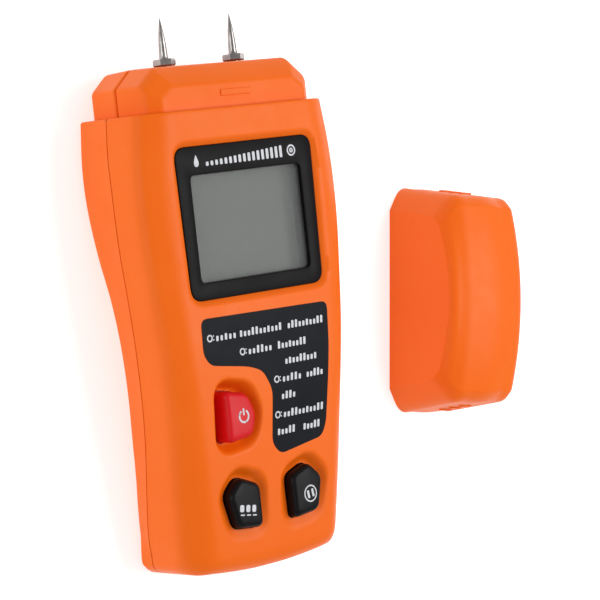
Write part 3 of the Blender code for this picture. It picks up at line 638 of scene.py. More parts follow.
WIDTH_AT: Table = ((-66.0, 24.6), (-57.0, 25.6), (-42.5, 27.0), (-26.0, 28.0), (-14.0, 28.8), (-6.0, 29.5),
                   (7.0, 30.7), (20.0, 31.7), (30.0, 31.9), (40.0, 31.4), (50.3, 30.0))
FACE_WIDTH_AT: Table = ((-66.0, 19.0), (-49.0, 20.6), (-28.0, 22.4), (-15.0, 23.5), (-6.0, 24.2),
                        (6.0, 24.6), (30.0, 25.4), (50.3, 23.8))
FACE_Z_AT: Table = ((-66.0, 21.2), (-58.0, 22.4), (-49.0, 23.8), (-28.0, 26.2), (-15.0, 27.4),
                    (-4.0, 27.8), (10.0, 27.8), (50.3, 27.8))
SHOULDER_Z_AT: Table = ((-66.0, 16.3), (-57.0, 17.5), (-42.5, 19.3), (-26.0, 21.5), (-14.0, 23.0),
                        (-6.0, 23.7), (6.0, 24.1), (50.3, 24.2))
SEAM_Z_AT: Table = ((-66.0, 5.2), (-51.0, 7.0), (-40.0, 9.4), (-27.0, 12.0), (-12.0, 13.8), (0.0, 14.7),
                    (20.0, 15.0), (32.0, 14.9), (43.0, 14.0), (50.3, 13.5))
REAR_EDGE_Z_AT: Table = ((-66.0, 1.4), (-56.0, 1.6), (-47.0, 2.6), (-37.0, 4.2), (-27.0, 5.2),
                         (-17.0, 6.3), (-8.0, 6.9), (0.0, 7.0), (7.0, 6.5), (17.0, 4.8), (32.0, 2.7),
                         (50.3, 1.7))
BOTTOM_AT: Table = ((0.0, -62.2), (6.0, -62.1), (12.0, -61.7), (18.0, -61.1), (23.1, -60.4), (24.9, -59.3))
CORNER_AT: Table = ((-59.3, 24.9), (-57.4, 26.0), (-54.5, 29.0), (-50.0, 40.0))
SHOULDER_Y = 50.3
CORNER_Y = -59.3
NOSE_ROOT_Y = 47.0


def key_outline(side: str) -> np.ndarray:
    """Corner points of a key seen from the front.

    Args:
        side: Which key: power, mode or hold.

    Returns:
        One row for each corner. The mode key is the hold key mirrored.
    """
    if side == "power":
        return np.array(((-15.2, -17.0), (-8.1, -18.4), (-5.9, -23.6), (-7.5, -28.9), (-15.2, -29.8)))
    hold = np.array(((5.2, -40.9), (11.4, -38.6), (15.4, -42.4), (13.3, -50.8), (5.3, -51.6)))
    return hold if side == "hold" else (hold * (-1, 1))[::-1]


def bezel_outline(amount: float = 0.0, steps: int = 5) -> np.ndarray:
    """Outline of the display bezel.

    Args:
        amount: Growth of the outline.
        steps: Spans per corner.

    Returns:
        The rounded outline.
    """
    corners = np.array(((-22.15, 41.75), (22.15, 41.75), (21.4, 5.0), (-21.4, 5.0)))
    return soften(grow(corners, amount), 3.4 + amount, steps)


def window_outline(amount: float = 0.0, steps: int = 5) -> np.ndarray:
    """Outline of the display window.

    Args:
        amount: Growth of the outline.
        steps: Spans per corner.

    Returns:
        The rounded outline.
    """
    x, low, high = 17.8 + amount, 22.0 - 12.85 - amount, 22.0 + 12.85 + amount
    return soften(np.array(((-x, high), (x, high), (x, low), (-x, low))), 1.6 + amount, steps)


LABEL_CORNERS = np.array(((-20.4, 0.9), (20.9, 0.3), (20.3, -10.0), (18.0, -29.6), (16.4, -32.8),
                          (2.4, -35.0), (-0.2, -32.0), (0.6, -18.8), (-2.2, -13.8), (-6.6, -12.2),
                          (-18.6, -10.4), (-20.6, -7.6)))


@dataclass
class CaseHalf:
    """One half of the case: a lid with sloped shoulders, side walls down to the seam, and the end.

    The cross-section runs from the seam up the side, over a rounded shoulder and a sloped band to
    the flat face, and back down.  It is swept along the length while its sizes follow the tables,
    and the last rows are pulled on to the curve of the bottom end.
    """

    front: bool
    wall: float = 1.7
    gap: float = 0.15
    bulge: float = 0.48
    edge_radius: float = 2.6
    foot_radius: float = 2.6
    rows: int = 250
    end_rows: int = 14
    face_columns: int = 112
    band_columns: int = 9
    side_rows: int = 7
    arc_rows: int = 5
    end_drop: float = 3.0
    end_run: float = 4.2
    mouth_radius: float = 0.5
    mouth_inset: float = 3.6
    mouth_depth: float = 4.0
    mouth_share: float = 0.3
    end_pull_y: float = -42.0
    snap_margin: float = 1.5
    end_fade: tuple[float, float] = (-50.0, 9.0)
    rear_lean: float = 0.9
    rear_slope: float = 1.5

    def half_section(self, y: np.ndarray) -> tuple[np.ndarray, np.ndarray, np.ndarray]:
        """Seam, shoulder and face corners of the right half of the section at each y.

        Args:
            y: Places along the length.

        Returns:
            Three arrays of (x, z) rows.
        """
        side = np.minimum(along(WIDTH_AT, y), along(CORNER_AT, y))
        fade = 1 - ease((self.end_fade[0] - y) / self.end_fade[1])
        taper = self.bulge * fade
        seam = along(SEAM_Z_AT, y)
        if self.front:
            return (np.column_stack((side + taper, seam + self.gap)),
                    np.column_stack((side, along(SHOULDER_Z_AT, y))),
                    np.column_stack((along(FACE_WIDTH_AT, y), along(FACE_Z_AT, y))))
        edge = along(REAR_EDGE_Z_AT, y)
        lean = self.rear_lean * fade
        return (np.column_stack((side + taper, seam - self.gap)),
                np.column_stack((side - lean, edge)),
                np.column_stack((side - self.rear_lean - self.rear_slope * edge, np.zeros_like(y))))

    def section_rows(self, y: np.ndarray) -> np.ndarray:
        """Points of the whole section at each y, from the right seam to the left seam.

        Straight spans join the seam, the shoulder and the face, and a quadratic arc takes the place
        of each corner. The left half is the right half mirrored.

        Args:
            y: Places along the length.

        Returns:
            Array of rows, columns and (x, z).
        """
        seam, shoulder, face = self.half_section(y)
        middle = face * (0, 1)
        low = np.linalg.norm(seam - shoulder, axis=1, keepdims=True)
        band = np.linalg.norm(face - shoulder, axis=1, keepdims=True)
        reach = np.minimum(self.foot_radius, 0.45 * np.minimum(low, band))
        top_reach = np.minimum(self.edge_radius, 0.45 * band)
        spots = [shoulder + (seam - shoulder) / low * reach, shoulder,
                 shoulder + (face - shoulder) / band * reach,
                 face + (shoulder - face) / band * top_reach, face, face - (1, 0) * top_reach]
        half = [self._span(seam, spots[0], self.side_rows),
                self._arc(spots[0], spots[1], spots[2]),
                self._span(spots[2], spots[3], self.band_columns)[:, 1:],
                self._arc(spots[3], spots[4], spots[5])[:, 1:],
                self._span(spots[5], middle, self.face_columns // 2)[:, 1:]]
        right = np.concatenate(half, axis=1)
        left = right[:, -2::-1] * (-1, 1)
        return np.concatenate((right, left), axis=1)

    @staticmethod
    def _span(start: np.ndarray, end: np.ndarray, count: int) -> np.ndarray:
        """Straight run of points between two ends, row by row, without the last point's repeat."""
        t = np.linspace(0.0, 1.0, count + 1)[None, :, None]
        return start[:, None] * (1 - t) + end[:, None] * t

    def _arc(self, start: np.ndarray, corner: np.ndarray, end: np.ndarray) -> np.ndarray:
        """Quadratic curve from one end to the other, pulled towards the corner, row by row."""
        t = np.linspace(0.0, 1.0, self.arc_rows + 1)[None, :, None]
        return start[:, None] * (1 - t) ** 2 + corner[:, None] * 2 * t * (1 - t) + end[:, None] * t**2

    def lengthwise(self) -> np.ndarray:
        """Places of the rows: even along the body and closer together at the bottom end."""
        body = np.linspace(SHOULDER_Y - self.mouth_radius, CORNER_Y + self.end_run, self.rows)
        turn = np.linspace(0.0, math.pi / 2, self.end_rows + 1)[1:]
        return np.concatenate((body, CORNER_Y + self.end_run * (1 - np.sin(turn))))

    def surface(self) -> np.ndarray:
        """Grid of the outside: rows of points from the mouth to the bottom end.

        The end is rounded by lowering each point by an ellipse of its distance from the end curve,
        scaled by how far the point stands above the seam.

        Returns:
            Array of rows, columns and (x, y, z).
        """
        y0 = self.lengthwise()
        section = self.section_rows(y0)
        x, z = section[..., 0], section[..., 1]
        pull = ease((self.end_pull_y - y0) / (self.end_pull_y - CORNER_Y))[:, None]
        end_y = along(BOTTOM_AT, np.abs(x))
        y = y0[:, None] + pull * (end_y - CORNER_Y)
        seam = z[:, :1]
        way = 1.0 if self.front else -1.0
        near = np.clip(1 - (y - end_y) / self.end_run, 0.0, 1.0)
        drop = self.end_drop * (1 - np.sqrt(np.clip(1 - near**2, 0.0, 1.0)))
        shoulder = z[:, self.side_rows][:, None]
        lift = np.clip((z - seam) / (shoulder - seam), 0.0, 1.0)
        z = z - way * drop * lift
        return np.stack((x, y, z), axis=-1)

    def mouth(self, first: np.ndarray) -> list[np.ndarray]:
        """Rows that turn the top end over a small radius and close it inwards round the nose.

        Args:
            first: The first row of the surface, at the mouth.

        Returns:
            Rows from the inside outwards, to go before the surface.
        """
        seam = first[0, 2]
        width = abs(first[self.side_rows, 0])
        depth = abs(first[len(first) // 2, 2] - seam)
        rows = []
        part = self.mouth_radius * self.mouth_share
        for inset, back in ((self.mouth_inset, self.mouth_depth), (self.mouth_inset, 0.0),
                            (self.mouth_radius, 0.0), (part, part)):
            row = first.copy()
            row[:, 0] *= 1 - inset / width
            row[:, 2] = seam + (row[:, 2] - seam) * (1 - inset / depth)
            row[:, 1] = SHOULDER_Y - back
            rows.append(row)
        return rows

    def end_wall(self, last: np.ndarray) -> np.ndarray:
        """Grid that hangs from the last row of the lid down to the seam.

        Args:
            last: Last row of the surface.

        Returns:
            Rows from the lid to the seam, with the lid's columns.
        """
        n = self.side_rows
        lid = last[n:len(last) - n]
        seam = last[0, 2]
        share = np.linspace(0.0, 1.0, n + 1)[:, None]
        wall = np.repeat(lid[None], n + 1, axis=0)
        wall[..., 2] = lid[None, :, 2] * (1 - share) + seam * share
        return wall

    def assemble(self, grid: np.ndarray) -> tuple[np.ndarray, np.ndarray, np.ndarray]:
        """Join the mouth, the lid and the end wall into one open surface.

        Args:
            grid: Surface grid, with its recesses already in it.

        Returns:
            Points, quads, and a mask that is true for the points of the mouth and the lid.
        """
        main = np.array(self.mouth(grid[0]) + list(grid))
        wall = self.end_wall(main[-1])
        points = np.concatenate((main.reshape(-1, 3), wall.reshape(-1, 3)))
        count, columns = main.shape[:2]
        faces = np.concatenate((grid_faces(count, columns),
                                grid_faces(*wall.shape[:2]) + count * columns))
        lid = np.zeros(len(points), bool)
        lid[:count * columns] = True
        return points, faces, lid

    def cut(self, points: np.ndarray, faces: np.ndarray, outline: np.ndarray, lid: np.ndarray,
            reach: float) -> np.ndarray:
        """Open a hole in the lid whose edge follows an outline.

        Points close to the outline move on to it, and faces with a point inside it go.

        Args:
            points: All points, changed in place.
            faces: Quads.
            outline: Closed outline of the hole.
            lid: True for points that belong to the lid.
            reach: Distance within which a point moves on to the outline.

        Returns:
            The faces that stay.
        """
        low, high = outline.min(axis=0) - self.snap_margin, outline.max(axis=0) + self.snap_margin
        spot = points[:, :2]
        near = np.flatnonzero(lid & np.all((spot > low) & (spot < high), axis=1))
        gap, place = edge_distance(spot[near], outline)
        moved = np.abs(gap) < reach
        points[near[moved], :2] = place[moved]
        inner = np.zeros(len(points), bool)
        inner[near[gap < -reach]] = True
        held = np.zeros(len(points), bool)
        held[near[moved]] = True
        hit = inner[faces].any(axis=1) | (held[faces] | inner[faces]).all(axis=1)
        centre = points[faces].mean(axis=1)
        gap_centre, _ = edge_distance(centre[hit][:, :2], outline)
        remove = np.zeros(len(faces), bool)
        remove[np.flatnonzero(hit)[(gap_centre < 0) | inner[faces[hit]].any(axis=1)]] = True
        return faces[~remove]


@dataclass
class FrontCase(CaseHalf):
    """Front half of the case, with the recesses of the display and keys and the nose's front."""

    front: bool = True
    seat_z: float = 25.9
    dish_floor_z: float = 22.7
    dish_run: tuple[float, float] = (0.55, 3.5)
    bezel_run: tuple[float, float] = (-1.3, 1.8)
    label_sink: float = 0.2
    window_margin: float = 1.7
    key_gap: float = 0.3
    snap: float = 0.33

    def build(self) -> None:
        """Build the shell with its recesses and holes, and the nose."""
        grid = self.surface()
        self.recess(grid)
        points, faces, lid = self.assemble(grid)
        faces = self.cut(points, faces, window_outline(self.window_margin), lid, self.snap)
        for name in ("power", "mode", "hold"):
            hole = soften(grow(key_outline(name), self.key_gap), 2.0, 6)
            faces = self.cut(points, faces, hole, lid, self.snap)
        MAKER.piece("front_case", points, faces, "orange_abs", Body.HOUSING, ("front_shell",),
                         wall=self.wall, closed=False)
        self.nose()

    def recess(self, grid: np.ndarray) -> None:
        """Lower the lid inside the display seat, the key dishes and under the label.

        Each recess has a flat floor, and its wall rises by a smooth step of the distance from the
        outline until it meets the face.

        Args:
            grid: Surface grid, changed in place apart from its side columns.
        """
        lid = grid[:, self.side_rows:grid.shape[1] - self.side_rows]
        flat = lid.reshape(-1, 3).copy()
        z = flat[:, 2]
        gap, _ = edge_distance(flat[:, :2], bezel_outline())
        start, end = self.bezel_run
        floor = self.seat_z + (flat[:, 2] - self.seat_z) * ease((gap - start) / (end - start))
        z = np.where(gap < end, np.minimum(z, floor), z)
        start, end = self.dish_run
        for name in ("power", "mode", "hold"):
            outline = soften(key_outline(name), 1.9, 5)
            gap, _ = edge_distance(flat[:, :2], outline)
            rise = ease((gap - start) / (end - start))
            floor = self.dish_floor_z + (flat[:, 2] - self.dish_floor_z) * rise
            z = np.where(gap < end, np.minimum(z, floor), z)
        gap, _ = edge_distance(flat[:, :2], soften(LABEL_CORNERS, 2.0, 4))
        z = z - self.label_sink * ease((-0.15 - gap) / 0.6)
        flat[:, 2] = z
        lid[...] = flat.reshape(lid.shape)

    def nose(self) -> None:
        """Front half of the nose: a block with cut corners and sloped edges, and its snap rib."""
        levels = ((13.65, 27.0, 61.4, 5.2, 4.5), (21.6, 26.4, 61.2, 5.0, 4.3), (23.3, 26.1, 59.6, 4.7, 3.9),
                  (25.8, 22.9, 56.2, 3.6, 2.6))
        points, faces = stacked([nose_ring(*level) for level in levels])
        MAKER.piece("nose_front", points, faces, "orange_abs", Body.HOUSING, bevel=0.7,
                         bevel_deg=14.0)
        points, faces = block((-4.6, 5.2), (53.0, 54.6), (25.4, 26.1))
        MAKER.piece("snap_rib", points, faces, "orange_abs", Body.HOUSING, bevel=0.22)


def nose_ring(z: float, half: float, top: float, run_x: float, run_y: float) -> np.ndarray:
    """Plan of the nose at one height: a rectangle whose two far corners are cut off.

    Args:
        z: Height of the plan.
        half: Half of the width.
        top: Far end along Y.
        run_x: Length of the cut corner along X.
        run_y: Length of the cut corner along Y.

    Returns:
        One row for each corner.
    """
    low = NOSE_ROOT_Y
    plan = ((half, low), (half, top - run_y), (half - run_x, top), (-half + run_x, top),
            (-half, top - run_y), (-half, low))
    return np.column_stack((np.array(plan), np.full(len(plan), z)))


@dataclass
class RearCase(CaseHalf):
    """Rear half of the case, with the opening of the battery bay and the screw wells."""

    front: bool = False
    foot_radius: float = 0.8
    edge_radius: float = 1.6
    rows: int = 200
    face_columns: int = 84
    end_drop: float = 1.6
    end_run: float = 2.2
    cover_half: float = 15.9
    cover_top: float = -5.7
    well_radius: float = 2.8
    snap: float = 0.42
    rail_z: tuple[float, float] = (1.62, 3.0)
    screws: tuple[tuple[float, float], ...] = ((24.0, 37.0), (-24.0, 37.0), (20.6, -49.0), (-20.6, -49.0))

    def build(self) -> None:
        """Build the shell, the ledges that carry the cover, and the rear of the nose."""
        points, faces, lid = self.assemble(self.surface())
        x = self.cover_half
        notch = np.array(((-x, self.cover_top), (x, self.cover_top), (x, -70.0), (-x, -70.0)))
        faces = self.cut(points, faces, notch, lid, self.snap)
        angle = np.linspace(0.0, 2 * math.pi, 32, endpoint=False)
        for sx, sy in self.screws:
            well = np.column_stack((sx + self.well_radius * np.cos(angle),
                                    sy + self.well_radius * np.sin(angle)))
            faces = self.cut(points, faces, well, lid, self.snap)
        MAKER.piece("rear_case", points, faces[:, ::-1], "orange_abs", Body.HOUSING, ("rear_shell",),
                         wall=self.wall, closed=False)
        self.ledges()
        levels = ((1.9, 24.4, 59.2, 3.8, 2.8), (3.6, 26.2, 61.0, 4.8, 4.2), (13.35, 27.0, 61.4, 5.2, 4.5))
        points, faces = stacked([nose_ring(*level) for level in levels])
        MAKER.piece("nose_rear", points, faces, "orange_abs", Body.HOUSING, bevel=0.7, bevel_deg=14.0)

    def ledges(self) -> None:
        """Two rails and a top ledge inside the bay, on which the cover slides."""
        for name, x in (("right", (14.4, 17.0)), ("left", (-17.0, -14.4))):
            points, faces = block(x, (-58.0, -6.4), self.rail_z)
            MAKER.piece(f"cover_rail_{name}", points, faces, "orange_abs", Body.HOUSING, bevel=0.2)
        points, faces = block((-17.0, 17.0), (-8.0, -4.6), self.rail_z)
        MAKER.piece("cover_ledge", points, faces, "orange_abs", Body.HOUSING, bevel=0.2)


# ---------------------------------------------------------------------------------------------
# Printed marks
# ---------------------------------------------------------------------------------------------


@dataclass
class PrintSheet:
    """Collects flat marks and lays them on a surface as one thin printed piece."""

    height: Callable[[np.ndarray, np.ndarray], np.ndarray]
    lift: float = 0.03
    thick: float = 0.04
    step: float = 0.6
    points: list[np.ndarray] = field(default_factory=list)
    tops: list[np.ndarray] = field(default_factory=list)
    faces: list[tuple[int, ...]] = field(default_factory=list)
    count: int = 0

    def fill(self, outline: np.ndarray) -> None:
        """Add a solid shape bounded by one outline.

        Args:
            outline: Closed outline, anticlockwise from above.
        """
        n = len(outline)
        self.points += [outline, outline]
        start = self.count
        self.faces.append(tuple(range(start, start + n)))
        self.faces.append(tuple(range(start + n, start + 2 * n))[::-1])
        self.faces += [(start + n + i, start + n + (i + 1) % n, start + (i + 1) % n, start + i)
                       for i in range(n)]
        self.count += 2 * n
        self.tops.append(np.concatenate((np.ones(n), np.zeros(n))))

    def bar(self, x: float, y: float, long: float, tall: float, lean_deg: float = 0.0) -> None:
        """Add a bar with rounded corners, and points along its sides so that it follows the face.

        Args:
            x: Middle across the meter.
            y: Middle along the meter.
            long: Size across.
            tall: Size along.
            lean_deg: Turn of the bar, clockwise.
        """
        box = soften(np.array(((-1, -1), (1, -1), (1, 1), (-1, 1))) * (long / 2, tall / 2),
                     min(long, tall) * 0.3, 2)
        ends = np.concatenate((box, box[:1]))
        reach = np.append(0.0, np.cumsum(np.linalg.norm(np.diff(ends, axis=0), axis=1)))
        spots = np.union1d(reach[:-1], np.arange(0.0, reach[-1], self.step))
        box = np.column_stack([np.interp(spots, reach, ends[:, axis]) for axis in (0, 1)])
        lean = math.radians(lean_deg)
        turn = np.array(((math.cos(lean), math.sin(lean)), (-math.sin(lean), math.cos(lean))))
        self.fill(box @ turn + (x, y))

    def stroke(self, x: float, y: float, radius: float, width: float, start_deg: float, end_deg: float,
               parts: int = 10) -> None:
        """Add an arc of even width, made of solid parts that share their ends.

        Args:
            x: Middle of the arc across the meter.
            y: Middle of the arc along the meter.
            radius: Radius of the arc's middle line.
            width: Width of the line.
            start_deg: Angle where it starts.
            end_deg: Angle where it ends.
            parts: Number of solid parts.
        """
        inner, outer = radius - width / 2, radius + width / 2
        turn = np.radians(np.linspace(start_deg, end_deg, parts * 3 + 1))
        ring = np.stack((np.cos(turn), np.sin(turn)), axis=1)
        for i in range(parts):
            part = ring[3 * i:3 * i + 4]
            self.fill(np.concatenate((part * inner, part[::-1] * outer))[::-1] + (x, y))

    def piece(self, name: str, slot: str, body: Body) -> None:
        """Make the printed piece from everything that was added.

        Args:
            name: Name of the piece.
            slot: Material slot of the record.
            body: Body that carries it.
        """
        plan = np.concatenate(self.points)
        top = np.concatenate(self.tops)
        z = self.height(plan[:, 0], plan[:, 1]) + self.lift - self.thick * (1 - top)
        MAKER.piece(name, np.column_stack((plan, z)), self.faces, slot, body, finish=PRINT)


# ---------------------------------------------------------------------------------------------
# Display and label
# ---------------------------------------------------------------------------------------------


@dataclass
class Display:
    """Bezel frame, clear window and the dark frame round the liquid crystal."""

    bezel_z: tuple[float, float] = (26.05, 26.95)
    fillet: float = 0.28
    lens_z: tuple[float, float] = (24.9, 25.8)
    frame_z: tuple[float, float] = (22.95, 24.8)
    title_y: float = 38.2
    title_half: float = 16.8

    def build(self) -> None:
        """Build the bezel, the window, the inner frame and the marks on the bezel."""
        self.bezel()
        self.lens()
        self.inner_frame()
        self.marks()

    def loop(self, corners: list[tuple[Callable, float, float]]) -> tuple[np.ndarray, np.ndarray]:
        """Ring-shaped solid whose profile is carried round the outlines.

        Args:
            corners: For each profile point, the outline maker, its growth and the height.

        Returns:
            Points and faces, where the last profile point joins the first.
        """
        steps = 10
        rings = [np.column_stack((maker(amount, steps), np.full((steps + 1) * 4, z)))
                 for maker, amount, z in corners]
        points = np.concatenate(rings + rings[:1])
        return points, grid_faces(len(rings) + 1, len(rings[0]), wrap=True)

    def bezel(self) -> None:
        """Frame with a small rounding at the rim and at the window."""
        low, high = self.bezel_z
        f = self.fillet
        outer, inner = bezel_outline, window_outline
        profile = [(outer, 0.0, low), (outer, 0.0, high - f), (outer, -0.08, high - 0.3 * f),
                   (outer, -0.3 * f, high - 0.08), (outer, -f, high), (inner, f, high),
                   (inner, 0.3 * f, high - 0.08), (inner, 0.08, high - 0.3 * f), (inner, 0.0, high - f),
                   (inner, 0.0, low)]
        points, faces = self.loop(profile)
        MAKER.piece("bezel_frame", points, faces, "black_plastic", Body.HOUSING, ("display_bezel",))

    def lens(self) -> None:
        """Clear plate with an eased rim under the bezel."""
        low, high = self.lens_z
        rings = [np.column_stack((window_outline(amount, 8), np.full(36, z)))
                 for amount, z in ((1.3, low), (1.4, low + 0.1), (1.4, high - 0.1), (1.3, high))]
        points, faces = stacked(rings)
        MAKER.piece("clear_window_plate", points, faces, "clear_lens", Body.HOUSING, ("display_lens",))

    def inner_frame(self) -> None:
        """Dark frame that closes the space between the window and the liquid crystal."""
        low, high = self.frame_z
        grown = window_outline
        profile = [(grown, 1.6, low), (grown, 1.6, high), (grown, 0.35, high), (grown, 0.2, high - 0.2),
                   (grown, 0.15, low)]
        points, faces = self.loop(profile)
        MAKER.piece("crystal_frame", points, faces, "black_plastic", Body.HOUSING, ("lcd_frame",))

    def marks(self) -> None:
        """Plain marks where a title would be: a droplet, rising bars and two rings."""
        top = self.bezel_z[1]
        sheet = PrintSheet(lambda x, y: np.full_like(x, top))
        turn = np.linspace(0.0, 2 * math.pi, 22, endpoint=False)
        drop = np.stack((1.05 * np.sin(turn) * np.sin(turn / 2) ** 1.4, 1.45 * np.cos(turn)), axis=1)
        sheet.fill(drop[::-1] + (-self.title_half + 1.2, self.title_y))
        bars = 17
        places = np.linspace(-self.title_half + 4.6, self.title_half - 5.0, bars)
        talls = np.linspace(1.0, 2.9, bars)
        for place, tall in zip(places, talls):
            sheet.bar(float(place), self.title_y - 1.45 + float(tall) / 2, 0.85, float(tall))
        for radius in (0.4, 1.2):
            sheet.stroke(self.title_half - 1.5, self.title_y, radius, 0.4, 0.0, 360.0)
        sheet.piece("bezel_marks", "label_print", Body.HOUSING)


@dataclass
class Label:
    """Printed film that follows the face, with plain marks in rows of one list."""

    lift: float = 0.05
    thick: float = 0.17
    letter: float = 1.85
    rows: tuple[tuple[int, float, tuple[tuple[float, float], ...]], ...] = (
        (1, -3.9, ((-16.3, -9.9), (-8.7, 5.0), (7.0, 18.9))),
        (2, -8.4, ((-6.4, 1.2), (3.2, 12.6))),
        (0, -12.4, ((5.2, 15.8),)),
        (3, -16.6, ((4.0, 10.2), (12.0, 17.6))),
        (0, -20.8, ((3.4, 8.0),)),
        (4, -25.3, ((3.8, 17.2),)),
        (0, -29.4, ((1.6, 7.4), (10.2, 15.8))))

    def face(self, x: np.ndarray, y: np.ndarray) -> np.ndarray:
        """Height of the film: the face of the case plus the film's lift."""
        return along(FACE_Z_AT, y) + self.lift + 0 * x

    def build(self) -> None:
        """Build the film and its printed marks."""
        self.film()
        self.marks()

    def film(self) -> None:
        """Film as strips between the left and right edge of the outline at each place along it.

        The outline's two edges are found at each y by the lowest and highest crossing, so the film
        is a grid of those edges and follows the curve of the face.
        """
        outline = soften(LABEL_CORNERS, 2.0, 6)
        low, high = outline[:, 1].min(), outline[:, 1].max()
        t = np.linspace(0.0, math.pi, 150)
        y = (low + high) / 2 - (high - low) / 2 * np.cos(t) * 0.9995
        start, end = outline, np.roll(outline, -1, axis=0)
        span = (start[None, :, 1] > y[:, None]) != (end[None, :, 1] > y[:, None])
        rise = end[:, 1] - start[:, 1]
        rise = np.where(np.abs(rise) < TINY, TINY, rise)
        slope = ((end[:, 0] - start[:, 0]) / rise)[None]
        cross = start[None, :, 0] + (y[:, None] - start[None, :, 1]) * slope
        left = np.where(span, cross, np.inf).min(axis=1)
        right = np.where(span, cross, -np.inf).max(axis=1)
        u = np.linspace(0.0, 1.0, 9)
        x = left[:, None] * (1 - u) + right[:, None] * u
        plan_y = np.repeat(y[:, None], len(u), axis=1)
        top = self.face(x, plan_y)
        upper = np.stack((x, plan_y, top), axis=-1)
        lower = upper - (0, 0, self.thick)
        sheet = np.concatenate((upper, lower[:, ::-1]), axis=1)
        rows, columns = sheet.shape[:2]
        faces = [tuple(f) for f in grid_faces(rows, columns, wrap=True)]
        faces += [tuple(range(columns))[::-1], tuple(range((rows - 1) * columns, rows * columns))]
        MAKER.piece("label_film", sheet.reshape(-1, 3), faces, "label_print", Body.HOUSING,
                    ("group_label",))

    def marks(self) -> None:
        """A ring and two dots at the head of each group, then short upright strokes in runs."""
        sheet = PrintSheet(self.face)
        tall = self.letter
        for group, y, words in self.rows:
            if group:
                first = words[0][0] - 0.75
                sheet.stroke(first - 1.15, y, 0.72, 0.36, 0.0, 360.0)
                for dot in (-0.45, 0.45):
                    sheet.bar(first, y + dot, 0.34, 0.34)
            for low, high in words:
                count = max(3, int(round((high - low) / 1.22)))
                places = np.linspace(low + 0.45, high - 0.45, count)
                for number, place in enumerate(places):
                    share = (1.0, 0.68, 0.68, 1.0, 0.68, 0.84, 0.68)[(number * 3 + group + count) % 7]
                    sheet.bar(float(place), y - tall * (1 - share) / 2, 0.74, tall * share, -5.0)
        sheet.piece("label_marks", "label_print", Body.HOUSING)


# ---------------------------------------------------------------------------------------------
# Keys
# ---------------------------------------------------------------------------------------------


